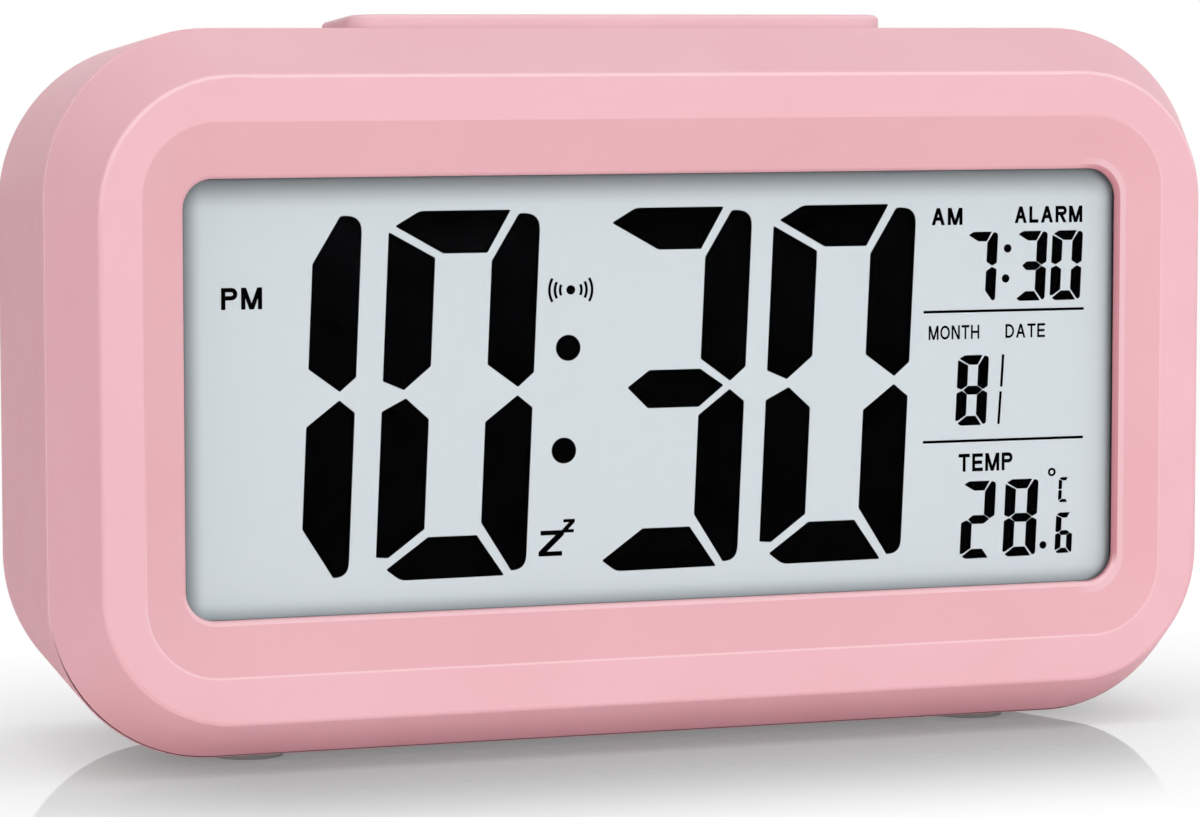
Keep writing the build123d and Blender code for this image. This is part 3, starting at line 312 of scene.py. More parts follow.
# %% [markdown]
# ## The case: satin moulded ABS
#
# The bezel, the housing, the bar, the keys and the battery cover are injection moulded in pink ABS. The
# mould is spark eroded, which leaves a fine even grain and a satin surface. One flat pink would look like
# paper, so grain, patches of pigment and patches of gloss break it up. ABS has an IOR near 1.54, but the
# photograph shows hardly any highlight, so the specular level is far below the usual one. The real grain
# is about 0.1 mm, finer than the picture can show, and is drawn at 0.35 mm.
#
# Some tones follow the photograph, and they are painted light and shade. The sloped recess has painted
# shade, deeper still on its right lip, painted highlights run as pale lines along the ring's edges, the lip
# and the seam on the left, and painted shade darkens the seam under the front. Each could be a material of
# its own, but the bezel is one moulding, so its material finds each band by how deep it lies behind the
# ring. The bar is a paler, lit copy of the case's pink with painted shade on its left end, and in glossy
# rays the case glows a neutral grey, a painted reflection that the table mirrors.

# %% Painted light and shade on the bezel
# From the side and the top of the bezel to just outside its recess, in millimetres
RECESS_SIDE, RECESS_TOP = 8.3, 9.65
# Bands of painted light and shade on the bezel: inside or outside the ring, first and last depth behind it
# in millimetres, how the tone is laid on, and, for a band that only one side has, an axis and the places on
# it, from the bezel's middle, where the band starts to show and where it shows in full
BEZEL_PAINTED_LIGHT = (
    # Painted shade over the whole recess
    (True, 0.02, 3.00, "MULTIPLY", "#F8F2F2", None),
    # Painted highlights on the ring's inner edge, at the bottom and on the right
    (True, 0.02, 0.09, "MIX", "#EDC7CD", ("Z", 0.0, -24.0)),
    (True, 0.02, 0.09, "MIX", "#E9C0C6", ("X", 48.0, 57.0)),
    # Painted shade on the right lip
    (True, 1.74, 3.00, "MULTIPLY", "#E3CED2", ("X", 50.0, 53.0)),
    # Painted highlight on the slope just before the right lip
    (True, 1.50, 1.74, "MIX", "#E5BDC3", ("X", 50.0, 53.0)),
    # Painted highlight on the bottom lip
    (True, 1.74, 2.10, "MIX", "#EDC4CA", ("Z", -20.5, -22.0)),
    # Painted highlight on the ring's outer edge at the top
    (False, 0.02, 0.20, "MIX", "#F0CBD1", ("Z", 18.0, 30.0)),
    # Painted highlight on the seam on the left
    (False, 9.34, 9.70, "MIX", "#FDEDEF", ("X", -52.0, -66.0)),
    # Painted shade on the seam under the front and along the bottom
    (False, 9.20, 9.70, "MIX", "#4A2C31", ("Z", -24.0, -31.0)),
    (False, 9.05, 9.70, "MIX", "#4A2C31", ("Z", -39.0, -40.0)),
)


def bezel_painted_light(tree, tone):
    """Bezel colour: painted shade in the recess and at the lower seam, painted highlights along edges."""
    low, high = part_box("front_bezel")
    middle, half = (low + high) / 2, (high - low) / 2
    place = add(tree, "TexCoord")
    axes = add(tree, "SeparateXYZ", [(0, place.outputs["Object"])])
    inside = 1.0
    for axis, inset in (("X", RECESS_SIDE), ("Z", RECESS_TOP)):
        reach = getattr(half, axis.lower()) - inset * MM
        within = add(tree, "Math", [(0, axes.outputs[axis]), (1, getattr(middle, axis.lower())), (2, reach)],
                     operation="COMPARE")
        inside = add(tree, "Math", [(0, inside), (1, within.outputs[0])], operation="MULTIPLY").outputs[0]
    outside = add(tree, "Math", [(0, 1.0), (1, inside)], operation="SUBTRACT").outputs[0]
    for is_inside, first, last, how, code, side in BEZEL_PAINTED_LIGHT:
        share = add(tree, "Math", [(0, axes.outputs["Y"]), (1, low.y + (first + last) / 2 * MM),
                                   (2, (last - first) / 2 * MM)], operation="COMPARE")
        share = add(tree, "Math", [(0, share.outputs[0]), (1, inside if is_inside else outside)],
                    operation="MULTIPLY")
        if side:
            axis, start, full = side
            zero = getattr(middle, axis.lower())
            part = add(tree, "MapRange", [("Value", axes.outputs[axis])],
                       From_Min=zero + start * MM, From_Max=zero + full * MM)
            share = add(tree, "Math", [(0, share.outputs[0]), (1, part.outputs[0])], operation="MULTIPLY")
        tone = add(tree, "Mix", [("Factor", share.outputs[0]), (FIRST, tone), (SECOND, linear(code))],
                   data_type="RGBA", blend_type=how).outputs[MIXED]
    return tone


print(len(BEZEL_PAINTED_LIGHT), "bands of tone on the bezel")

# %% Painted shade on the bar
# Painted shade on the left end, a deeper pink, and from where to where it turns into the bar's own pink,
# in millimetres
BAR_END_SHADE, BAR_END = "#EDB2B9", (0.15, 0.45)


def bar_painted_shade(tree, tone):
    """Painted shade on the bar: its left end, which faces the case's side, is painted a deeper pink."""
    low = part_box("snooze_bar")[0]
    place = add(tree, "TexCoord")
    axes = add(tree, "SeparateXYZ", [(0, place.outputs["Object"])])
    end = add(tree, "MapRange", [("Value", axes.outputs["X"])], From_Min=low.x + BAR_END[0] * MM,
              From_Max=low.x + BAR_END[1] * MM, To_Min=1.0, To_Max=0.0)
    return add(tree, "Mix", [("Factor", end.outputs[0]), (FIRST, tone), (SECOND, linear(BAR_END_SHADE))],
               data_type="RGBA").outputs[MIXED]


print("the bar's left end is", BAR_END_SHADE)

# %% ABS
ABS_PINK, ABS_PATCH = "#E9BBC2", "#E7B7BE"
# A paler, lit copy of the case's pink for the bar: painted light that makes up for the pink light bounced
# onto its front
BAR_LIT_PINKS = ("#E9C5CB", "#E7C1C7")
# Grey that the case glows in glossy rays in place of its pink: a painted reflection, which the table mirrors
ABS_PAINTED_REFLECTION = "#A8A8A8"
ABS_ROUGHNESS, ABS_SPREAD = 0.42, 0.03
# Width of the patches and of the grain, and height of the grain, in millimetres
PIGMENT_PATCH, GLOSS_PATCH = 14.0, 3.0
ABS_GRAIN, ABS_GRAIN_HEIGHT = 0.35, 0.004


def moulded_abs(name, colour=ABS_PINK, patch=ABS_PATCH, painted_light=None):
    """Pink ABS, glowing grey in glossy rays as a painted reflection; the last argument paints light and
    shade.
    """
    made, tree = material(name)
    mirrored = add(tree, "LightPath").outputs["Is Glossy Ray"]
    pigment = mottle(tree, PIGMENT_PATCH, low=0.0, high=1.0)
    tone = add(tree, "Mix", [("Factor", pigment), (FIRST, linear(colour)), (SECOND, linear(patch))],
               data_type="RGBA").outputs[MIXED]
    if painted_light:
        tone = painted_light(tree, tone)
    # In glossy rays the pink turns black and the case glows grey instead: a painted reflection
    tone = add(tree, "Mix", [("Factor", mirrored), (FIRST, tone), (SECOND, linear("#000000"))],
               data_type="RGBA").outputs[MIXED]
    shader = add(tree, "BsdfPrincipled", [
        ("Base Color", tone),
        ("Roughness", mottle(tree, GLOSS_PATCH, ABS_ROUGHNESS - ABS_SPREAD, ABS_ROUGHNESS + ABS_SPREAD)),
        ("Normal", grain(tree, ABS_GRAIN, ABS_GRAIN_HEIGHT)),
        ("Emission Strength", mirrored),
    ], IOR=1.54, Specular_IOR_Level=0.06, Emission_Color=linear(ABS_PAINTED_REFLECTION))
    add(tree, "OutputMaterial", [("Surface", shader.outputs[0])])
    return made


finishes = {"moulded_abs": moulded_abs("moulded_abs_pink")}
bezel_finish_and_painted_light = moulded_abs("moulded_abs_pink_bezel_painted_light", painted_light=bezel_painted_light)
bar_finish_and_painted_light = moulded_abs("moulded_abs_pink_bar_painted_light", *BAR_LIT_PINKS, painted_light=bar_painted_shade)
print("ABS", ABS_PINK, linear(ABS_PINK))

# %% [markdown]
# ## Inside: plain plastics and metals
#
# Most of the inner pieces are plain engineering materials. Each could have a shader of its own, but they
# differ only in colour, gloss and grain, so one function makes them all. Each is named for what it is and
# takes its roughness from how it was made: solder mask is a glossy lacquer, cured resin is as smooth as
# enamel, silicone rubber is dull, and plated metal has a soft shine. Slight patches of colour and gloss
# keep them from looking painted.

# %% Plain plastics and metals
# Most plastics have an IOR near 1.5. It is also Blender's own value, which the metals keep
PLAIN_IOR = 1.5
PLAIN_SPREAD = 0.15


def plain(name, colour, roughness, patch, size=5.0, metallic=0.0, grain_mm=0.25, height=0.003):
    """Material whose colour and gloss vary slightly over patches of the given size."""
    made, tree = material(name)
    patches = mottle(tree, size, low=0.0, high=1.0)
    blend = add(tree, "Mix", [("Factor", patches), (FIRST, linear(colour)), (SECOND, linear(patch))],
                data_type="RGBA")
    rough = mottle(tree, size / 4, roughness * (1 - PLAIN_SPREAD), roughness * (1 + PLAIN_SPREAD))
    shader = add(tree, "BsdfPrincipled", [
        ("Base Color", blend.outputs[MIXED]),
        ("Roughness", rough),
        ("Normal", grain(tree, grain_mm, height)),
    ], IOR=PLAIN_IOR, Metallic=metallic)
    add(tree, "OutputMaterial", [("Surface", shader.outputs[0])])
    return made


finishes.update({
    # Float glass: pale, with a sharp gloss
    "display_glass": plain("display_glass", "#C9D3D3", 0.10, "#C5D0D0"),
    # Its fine cells swallow light: almost black, with no highlight
    "foam": plain("black_closed_cell_foam", "#17181A", 0.85, "#1D1E20", size=1.0, grain_mm=0.3, height=0.05),
    # Filled polyester: an even, dull white
    "white_film": plain("white_film", "#EEF0F0", 0.60, "#ECEEEE"),
    # Etched acrylic: milky, with a soft shine
    "light_guide": plain("frosted_acrylic", "#E8EEF0", 0.30, "#E4EBEE"),
    # Moulded in a bare steel mould: warm white, with a dull shine
    "white_abs": plain("white_abs", "#E6E6E2", 0.40, "#E3E3DF"),
    # Lacquer over glass-fibre laminate: deep green, glossy
    "circuit_board": plain("solder_mask_green", "#1C5A33", 0.28, "#1A5430", size=3.0),
    # Phosphor in clear resin: creamy drops
    "lamp": plain("white_lamp_resin", "#F2EBC0", 0.25, "#F0E8B8"),
    # Layers of conducting and plain rubber: dull pink with dark streaks
    "elastomer": plain("striped_silicone", "#D9A0A6", 0.55, "#4A4648", size=0.5),
    # A drop that cured smooth: deep black, with a sharp gloss
    "black_resin": plain("cured_black_resin", "#0C0C0D", 0.12, "#101012"),
    # Rolled and plated: grey, with a soft shine
    "steel": plain("plated_steel", "#B9B9B6", 0.32, "#AEAEAB", metallic=1.0),
    # Glass-filled nylon: black, a little dull
    "component_plastic": plain("black_component_plastic", "#1B1B1C", 0.38, "#161617"),
    # Acetal, which slides well: black and slightly waxy
    "black_plastic": plain("black_acetal", "#141415", 0.35, "#19191A"),
    # Nickel over spring steel: brighter and warmer than the screws
    "contact_metal": plain("nickel_plated_spring_steel", "#C9C6BD", 0.24, "#BFBCB2", metallic=1.0),
    # Soft moulded silicone: pale, with hardly any shine
    "rubber": plain("pale_silicone_rubber", "#C9C2BC", 0.65, "#C4BDB7"),
    # Flat PVC cable: off-white, with faint streaks
    "ribbon": plain("flat_ribbon_cable", "#DAD9D2", 0.40, "#C8C7C0", size=1.0),
    # Extruded PVC: a smooth skin with a broad shine
    "red_wire": plain("red_pvc_insulation", "#B0201C", 0.30, "#A81D1A"),
    "black_wire": plain("black_pvc_insulation", "#171717", 0.30, "#131313"),
})
print(len(finishes), "finishes so far")

# %% [markdown]
# ## The lens and the display film
#
# A clear acrylic lens covers the display. Light passes straight through such a thin flat sheet, so it
# could be real refracting glass, but an almost transparent surface with its gloss looks the same and is
# quicker. Behind it lies the matt polarising film of the display, a cool pale grey. In the photograph the
# lip of the window shades it more deeply than the lamps here do, and the film's material adds that shade.

# %% Lens and display film
def clear_acrylic():
    """Polished acrylic lens: almost nothing to see but a faint veil and its gloss."""
    made, tree = material("clear_acrylic")
    shader = add(tree, "BsdfPrincipled", Base_Color=linear("#101214"), Roughness=0.04, IOR=1.49, Alpha=0.02)
    add(tree, "OutputMaterial", [("Surface", shader.outputs[0])])
    return made


FILM_GREY, FILM_DARK = "#D3DFE3", "#08090A"
# How far the lens reaches under the lip, and how far behind the lip's edge the shade starts, in millimetres
LENS_LAP, SHADE_START = 2.2, 0.3
# Width of the dark line right at the lip in millimetres, and the share of the light that is left in it
RIM_LINE, RIM_LINE_LIGHT = 0.12, 0.5
# For each rim: axis, corner of the lens's box, way to the middle, millimetres that the lip hides, share of
# the light that is lost at the rim, and how far the shade reaches
RIMS = (
    ("X", 0, 1, 0.44, 0.64, 2.2),
    ("X", 1, -1, -0.5, 0.28, 1.9),
    ("Z", 1, -1, 0.05, 0.70, 3.6),
    ("Z", 0, 1, -0.2, 0.38, 2.0),
)


def display_film():
    """Matt film over the lit display: a cool pale grey that darkens close to the rim of the window."""
    made, tree = material("matt_polariser_film")
    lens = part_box("display_lens")
    place = add(tree, "TexCoord")
    axes = add(tree, "SeparateXYZ", [(0, place.outputs["Object"])])
    light = 1.0
    for axis, corner, inward, hidden, shade, reach in RIMS:
        edge = getattr(lens[corner], axis.lower()) + inward * (LENS_LAP + hidden) * MM
        soft = add(tree, "MapRange", [("Value", axes.outputs[axis])], interpolation_type="SMOOTHSTEP",
                   From_Min=edge - inward * SHADE_START * MM, From_Max=edge + inward * reach * MM,
                   To_Min=1 - shade, To_Max=1.0)
        line = add(tree, "MapRange", [("Value", axes.outputs[axis])], From_Min=edge,
                   From_Max=edge + inward * RIM_LINE * MM, To_Min=RIM_LINE_LIGHT, To_Max=1.0)
        both = add(tree, "Math", [(0, soft.outputs[0]), (1, line.outputs[0])], operation="MULTIPLY")
        light = add(tree, "Math", [(0, light), (1, both.outputs[0])], operation="MULTIPLY").outputs[0]
    tone = add(tree, "Mix", [("Factor", light), (FIRST, linear(FILM_DARK)), (SECOND, linear(FILM_GREY))],
               data_type="RGBA")
    shader = add(tree, "BsdfPrincipled", [
        ("Base Color", tone.outputs[MIXED]),
        ("Normal", grain(tree, size=0.2, height=0.001)),
    ], Roughness=0.6, Specular_IOR_Level=0.05)
    add(tree, "OutputMaterial", [("Surface", shader.outputs[0])])
    return made


finishes["lens"] = clear_acrylic()
finishes["polariser"] = display_film()
print("the film is shaded along", len(RIMS), "rims")

# %% Finishes on the solids
slot_of = {part["node"]: part["material_slot"] for part in frame["record"]["subparts"]}
finish_with_painted_light = {"front_bezel": bezel_finish_and_painted_light, "snooze_bar": bar_finish_and_painted_light}
for name, piece in nodes.items():
    piece.data.materials.clear()
    # The cells get their printed jackets later
    if slot_of[name] in finishes:
        piece.data.materials.append(finish_with_painted_light.get(name, finishes[slot_of[name]]))
print(len(finishes), "finishes on", len(nodes), "solids")

# %% [markdown]
# ## Ink on the display
#
# A liquid crystal display draws with fixed electrodes: seven for each digit, a few dots, rules and words.
# They could be painted on with a mask, but its edges would blur, and the mesh of the part would lose them.
# Each lit electrode is therefore a thin plate with rounded corners, cut from an outline in millimetres.
# All digits share one set of outlines, worked out from a digit's width, height and stroke and leaned over
# by the same small slant, so the large time and the small date keep the same hand.

# %% Display plane
INK_THICKNESS = 0.02
SLANT = 0.0455
window_low, window_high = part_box("display_lens")
film_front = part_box("front_polariser")[0].y
MIDDLE_Z = (window_low.z + window_high.z) / 2
print("display film at", round(film_front / MM, 2), "mm, its middle at", round(MIDDLE_Z / MM, 2), "mm up")

# %% Outlines and plates
LEAST_RADIUS = 0.001
# Two roundings use up at most this share of the side between them
SIDE_USED = 0.98


def wanted(points, i):
    """How far from a corner its rounding would start, for its own radius."""
    corner, before, after = (Vector(points[j % len(points)][:2]) for j in (i, i - 1, i + 1))
    return max(points[i][2], LEAST_RADIUS) / tan((before - corner).angle(after - corner) / 2)


def rounded_corners(points, steps=6):
    """Outline with a rounding of its own radius at each point, smaller where a side is too short."""
    result = []
    count = len(points)
    corners = [Vector(point[:2]) for point in points]
    for i, corner in enumerate(corners):
        back, ahead = corners[i - 1] - corner, corners[(i + 1) % count] - corner
        reach = wanted(points, i) * min(1, *(
            SIDE_USED * side.length / (wanted(points, i) + wanted(points, j % count))
            for side, j in ((back, i - 1), (ahead, i + 1))))
        start, end = corner + back.normalized() * reach, corner + ahead.normalized() * reach
        for k in range(steps + 1):
            share = k / steps
            result.append(start * (1 - share) ** 2 + corner * 2 * share * (1 - share) + end * share ** 2)
    return result


def plates(name, outlines, finish, face=None, side=-1):
    """Thin plates on a face that looks to -Y or +Y; outlines hold x as a reader sees it, and height."""
    base = film_front if face is None else face
    work = bmesh.new()
    for outline in outlines:
        rows = []
        for depth in (INK_THICKNESS, 0):
            rows.append([work.verts.new((-side * p[0] * MM, base + side * depth * MM, MIDDLE_Z + p[1] * MM))
                         for p in outline])
        near, far = rows
        work.faces.new(near)
        work.faces.new(list(reversed(far)))
        for i in range(len(near)):
            j = (i + 1) % len(near)
            work.faces.new((near[j], near[i], far[i], far[j]))
    bmesh.ops.recalc_face_normals(work, faces=work.faces)
    mesh = bpy.data.meshes.new(name)
    work.to_mesh(mesh)
    work.free()
    mesh.materials.append(finish)
    made = bpy.data.objects.new(name, mesh)
    scene.collection.objects.link(made)
    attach(made, "case")
    return made


print("ink stands", INK_THICKNESS, "mm proud")

# %% Hands of the digits
SEGMENTS = {
    "0": "abcdef", "1": "bc", "2": "abdeg", "3": "abcdg",
    "6": "acdefg", "7": "abc", "8": "abcdefg", "C": "adef",
}
# Stroke and bar widths, gap, how far the ends are cut across and down, rise of the waist's points on the
# inner and outer side, and corner radii: outside of the digit, at the waist, and elsewhere
LARGE = dict(stroke=5.42, bar=4.68, gap=0.90, cut=(3.45, 2.03), rise=(3.00, 1.85), tip=0.33,
             radii=(1.80, 0.15, 0.15))
SMALL = dict(stroke=1.30, bar=1.10, gap=0.12, cut=(0.80, 0.46), rise=(0.52, 0.36), tip=0.45,
             radii=(0.62, 0.12, 0.08))
DEGREES = dict(SMALL, stroke=1.34)
FAINT = dict(stroke=0.72, bar=0.60, gap=0.07, cut=(0.42, 0.30), rise=(0.30, 0.20), tip=0.45,
             radii=(0.30, 0.08, 0.05))
THIN = dict(stroke=0.43, bar=0.38, gap=0.05, cut=(0.30, 0.22), rise=(0.12, 0.12), tip=0.45,
            radii=(0.20, 0.05, 0.05))
print(len(SEGMENTS), "characters")

# %% Seven-segment digits
# The waist of a digit lies this share of its height above the middle
WAIST_RISE = 0.006
# Share of its stroke at which the upper left segment comes to a point
LEFT_TIP = 0.45


def digit(mark, right, middle, width, height, hand):
    """Outlines of one digit: right edge and middle height, overall size, and the hand that it is drawn in."""
    stroke, bar, gap = hand["stroke"], hand["bar"], hand["gap"] / 2
    (cut_x, cut_z), (rise_in, rise_out), (outer, waist, fine) = hand["cut"], hand["rise"], hand["radii"]
    left, top, low = right - width, middle + height / 2, middle - height / 2
    tie = middle + WAIST_RISE * height
    in_l, in_r, in_top, in_low = left + stroke, right - stroke, top - bar, low + bar
    tip_l, tip_r = left + LEFT_TIP * stroke, right - hand["tip"] * stroke
    shapes = {
        "a": [(left + 0.2 * cut_x, top - 0.8 * cut_z, fine), (left + cut_x, top, outer),
              (right - cut_x, top, fine), (in_r - 1.2 * gap, in_top, fine),
              (in_l + 2 * gap, in_top, waist)],
        "b": [(right - 0.72 * cut_x, top - 0.2 * cut_z, 0.3 * outer), (right, top - 0.2 * cut_z, outer),
              (right, tie + 1.1 * rise_out, waist), (tip_r, tie + gap, waist), (in_r, tie + rise_in, waist),
              (in_r, in_top - 2 * gap, fine)],
        "c": [(in_r, tie - 1.1 * rise_in, waist), (tip_r, tie - gap, waist), (right, tie - rise_out, waist),
              (right, low + 0.3 * cut_z, outer), (right - 0.5 * cut_x, low + 0.3 * cut_z, fine),
              (in_r, in_low + 3 * gap, fine)],
        "d": [(left + 0.35 * cut_x, low + 0.62 * cut_z, fine), (in_l + gap, in_low, waist),
              (in_r - gap, in_low, waist), (right - 0.72 * cut_x, low + 0.05 * cut_z, fine),
              (left + 0.85 * cut_x, low, outer)],
        "e": [(left, tie - rise_out, waist), (left + 0.5 * stroke, tie - gap, waist),
              (in_l, tie - 0.93 * rise_in, waist), (in_l, in_low + 2 * gap, fine),
              (left + 0.4 * cut_x, low + 1.25 * cut_z, fine), (left, low + 1.3 * cut_z, fine)],
        "f": [(left, top - 1.1 * cut_z, fine), (in_l, in_top - gap, fine), (in_l, tie + rise_in, waist),
              (tip_l, tie + gap, waist), (left, tie + 0.8 * rise_out, waist)],
        "g": [(left + 0.62 * stroke, tie, waist), (in_l + gap, tie - gap / 2 + bar / 2.2, waist),
              (in_r, tie - gap / 2 + bar / 2.2, waist), (right - 0.47 * stroke, tie, waist),
              (in_r, tie - gap / 2 - bar / 2.2, waist), (in_l + gap, tie - gap / 2 - bar / 2.2, waist)],
    }
    return [rounded_corners([(x + SLANT * z, z, r) for x, z, r in shapes[segment]])
            for segment in SEGMENTS[mark]]


def disc(x, z, radius, steps=32):
    """Round dot."""
    angles = [2 * pi * i / steps for i in range(steps)]
    return [(x + radius * cos(a), z + radius * sin(a)) for a in angles]


def stroke_line(points, width):
    """Line of even width through points, as a closed outline."""
    points = [Vector(p) for p in points]
    left, right = [], []
    for i, point in enumerate(points):
        before, after = points[max(i - 1, 0)], points[min(i + 1, len(points) - 1)]
        along = (after - before).normalized()
        side = Vector((-along.y, along.x)) * width / 2
        left.append(point + side)
        right.append(point - side)
    return left + list(reversed(right))


def arc_line(x, z, radius, start, end, width, steps=14):
    """Part of a ring, from one angle to another in degrees."""
    angles = [radians(start + (end - start) * i / steps) for i in range(steps + 1)]
    return stroke_line([(x + radius * cos(a), z + radius * sin(a)) for a in angles], width)


print(len(SEGMENTS["8"]), "segments in a whole digit")

# %% [markdown]
# ## Time, date and temperature
#
# A lit segment is black because the liquid crystal turns the light off inside the glass. Black paint
# would have a gloss of its own and look grey in front of the white room, so this black has none. Each
# digit is placed by its middle height and its right edge, because a 1 has no left one.

# %% Liquid crystal
def liquid_crystal():
    """Lit electrodes: a black inside the glass, so they have no gloss of their own."""
    made, tree = material("liquid_crystal_black")
    patches = mottle(tree, size=4.0, low=0.0, high=1.0)
    tone = add(tree, "Mix", [("Factor", patches), (FIRST, linear("#000000")), (SECOND, linear("#020203"))],
               data_type="RGBA")
    shader = add(tree, "BsdfPrincipled", [("Base Color", tone.outputs[MIXED])], Roughness=0.9,
                 Specular_IOR_Level=0.0)
    add(tree, "OutputMaterial", [("Surface", shader.outputs[0])])
    return made


ink = liquid_crystal()
print("ink is", ink.name)

# %% The time
TIME_HEIGHT, TIME_WIDTH, TIME_MIDDLE = 40.4, 17.35, -0.26
# Mark and right edge of each digit
TIME_RIGHTS = {"tens_of_hours": ("1", -35.40), "hours": ("0", -15.00), "tens_of_minutes": ("3", 10.05),
               "minutes": ("0", 30.02)}
COLON_X, COLON_RADIUS = -11.12, 1.44
COLON_HEIGHTS = (4.60, -6.77)
for name, (mark, right) in TIME_RIGHTS.items():
    plates("lcd_" + name, digit(mark, right, TIME_MIDDLE, TIME_WIDTH, TIME_HEIGHT, LARGE), ink)
plates("lcd_colon", [disc(COLON_X + SLANT * z, z, COLON_RADIUS) for z in COLON_HEIGHTS], ink)
print(len(TIME_RIGHTS), "large digits and a colon")

# %% Alarm time, month and temperature
# For each digit: mark, right edge, middle height, width, height and hand
ALARM_TIME = (
    ("7", 40.35, 12.63, 3.85, 8.00, SMALL),
    ("3", 46.58, 12.63, 3.85, 8.00, SMALL),
    ("0", 51.05, 12.63, 3.85, 8.00, SMALL),
)
MONTH = ("8", 39.95, -1.46, 3.85, 8.05, SMALL)
TEMPERATURE = (
    ("2", 41.60, -16.35, 4.15, 8.90, DEGREES),
    ("8", 46.97, -16.30, 4.15, 8.90, DEGREES),
    ("6", 51.57, -18.26, 2.15, 4.70, FAINT),
    ("C", 50.95, -13.27, 1.40, 2.90, THIN),
)
# For each dot: place and radius
ALARM_COLON = ((42.29, 14.68, 0.48), (42.06, 11.25, 0.48))
DEGREES_POINT = (47.03, -19.58, 0.44)


def digits(settings):
    """Outlines of several digits."""
    return [outline for setting in settings for outline in digit(*setting)]


plates("lcd_alarm_time", digits(ALARM_TIME) + [disc(*dot) for dot in ALARM_COLON], ink)
plates("lcd_month", digit(*MONTH), ink)
plates("lcd_temperature", digits(TEMPERATURE) + [disc(*DEGREES_POINT)], ink)
print("alarm time, month and temperature drawn")

# %% Rules and signal
RULE_WIDTH = 0.31
# Ends of the two level rules and of the two parts of the slanted one
RULES = (((31.86, 7.60), (51.96, 7.60)), ((31.86, -7.24), (52.01, -7.24)),
         ((41.82, 2.56), (41.61, -1.13)), ((41.54, -1.68), (41.29, -5.42)))
DEGREE_PLACE, DEGREE_RADIUS, DEGREE_STROKE = (48.08, -11.18), 0.37, 0.27
rules = [stroke_line(ends, RULE_WIDTH) for ends in RULES]
rules.append(arc_line(*DEGREE_PLACE, DEGREE_RADIUS, 0, 360, DEGREE_STROKE))
plates("lcd_rules", rules, ink)

SIGNAL_PLACE, SIGNAL_DOT = (-10.60, 11.00), 0.52
# Radius of each pair of waves, and half of the angle that a wave spans, in degrees
WAVES, WAVE_STROKE = ((1.25, 28), (1.85, 29), (2.50, 31)), 0.30
signal = [disc(*SIGNAL_PLACE, SIGNAL_DOT, 24)]
for radius, spread in WAVES:
    for middle in (0, 180):
        signal.append(arc_line(*SIGNAL_PLACE, radius, middle - spread, middle + spread, WAVE_STROKE))
plates("lcd_signal", signal, ink)
print(len(rules), "rules,", len(signal) - 1, "waves")

# %% Snooze sign
# For each letter: its lower left corner, width, height and the width of its bars
SNOOZE_LETTERS = ((-14.40, -18.45, 2.75, 2.85, 0.52), (-11.62, -15.90, 1.35, 1.50, 0.36))


def letter_z(x, z, width, height, bar):
    """Letter Z of the snooze sign, with its lower left corner at x and z."""
    lean, notch = 0.08 * height, 1.9 * bar
    right, top = x + width, z + height
    return [(x + lean, top), (right + lean, top), (right + lean, top - bar), (x + notch, z + bar),
            (right, z + bar), (right, z), (x, z), (x, z + bar), (right + lean - notch, top - bar),
            (x + lean, top - bar)]


plates("lcd_snooze_sign", [letter_z(*setting) for setting in SNOOZE_LETTERS], ink)
print(len(SNOOZE_LETTERS), "letters in the snooze sign")

# %% [markdown]
# ## Lettering
#
# The words are plain capitals in strokes of one width. Blender's own text would do, but its letters swell
# unevenly when they are made bolder, and the narrow notch of an M closes up. Each letter is therefore a
# few bars, slanted strokes and bows in a cell one unit tall, and a word is stretched to its real box.

# %% Strokes of the letters
def bar(x0, x1, z0, z1):
    """Level or upright bar between two sides and two heights."""
    return [(x0, z0), (x1, z0), (x1, z1), (x0, z1)]


def slanted(x0, z0, x1, z1, stroke):
    """Slanted stroke with level ends, from the middle of one end to the middle of the other."""
    half = stroke / 2 * hypot(x1 - x0, z1 - z0) / abs(z1 - z0)
    return [(x0 - half, z0), (x0 + half, z0), (x1 + half, z1), (x1 - half, z1)]


def bow(x, z, across, up, start, end, stroke, steps=16):
    """Part of an oval stroke about a middle, from one angle to another in degrees."""
    angles = [radians(start + (end - start) * i / steps) for i in range(steps + 1)]
    outer = [(x + (across + stroke / 2) * cos(a), z + (up + stroke / 2) * sin(a)) for a in angles]
    inner = [(x + (across - stroke / 2) * cos(a), z + (up - stroke / 2) * sin(a)) for a in angles]
    return outer + inner[::-1]


print("a level bar is", bar(0, 1, 0, 0.2))

# %% Letters
# Width of each capital when it is one unit tall
LETTER_WIDTHS = {
    "A": 0.92, "D": 0.82, "E": 0.74, "F": 0.70, "H": 0.82, "L": 0.66, "M": 0.98, "N": 0.82,
    "O": 0.96, "P": 0.76, "R": 0.82, "S": 0.78, "T": 0.78, "U": 0.82, "W": 1.24,
}
LETTER_SPACE = 0.17
# Foot of the bowl of P and R, and height and inset of the bar of an A
BOWL_FOOT = 0.43
A_BAR, A_INSET = 0.26, 0.22


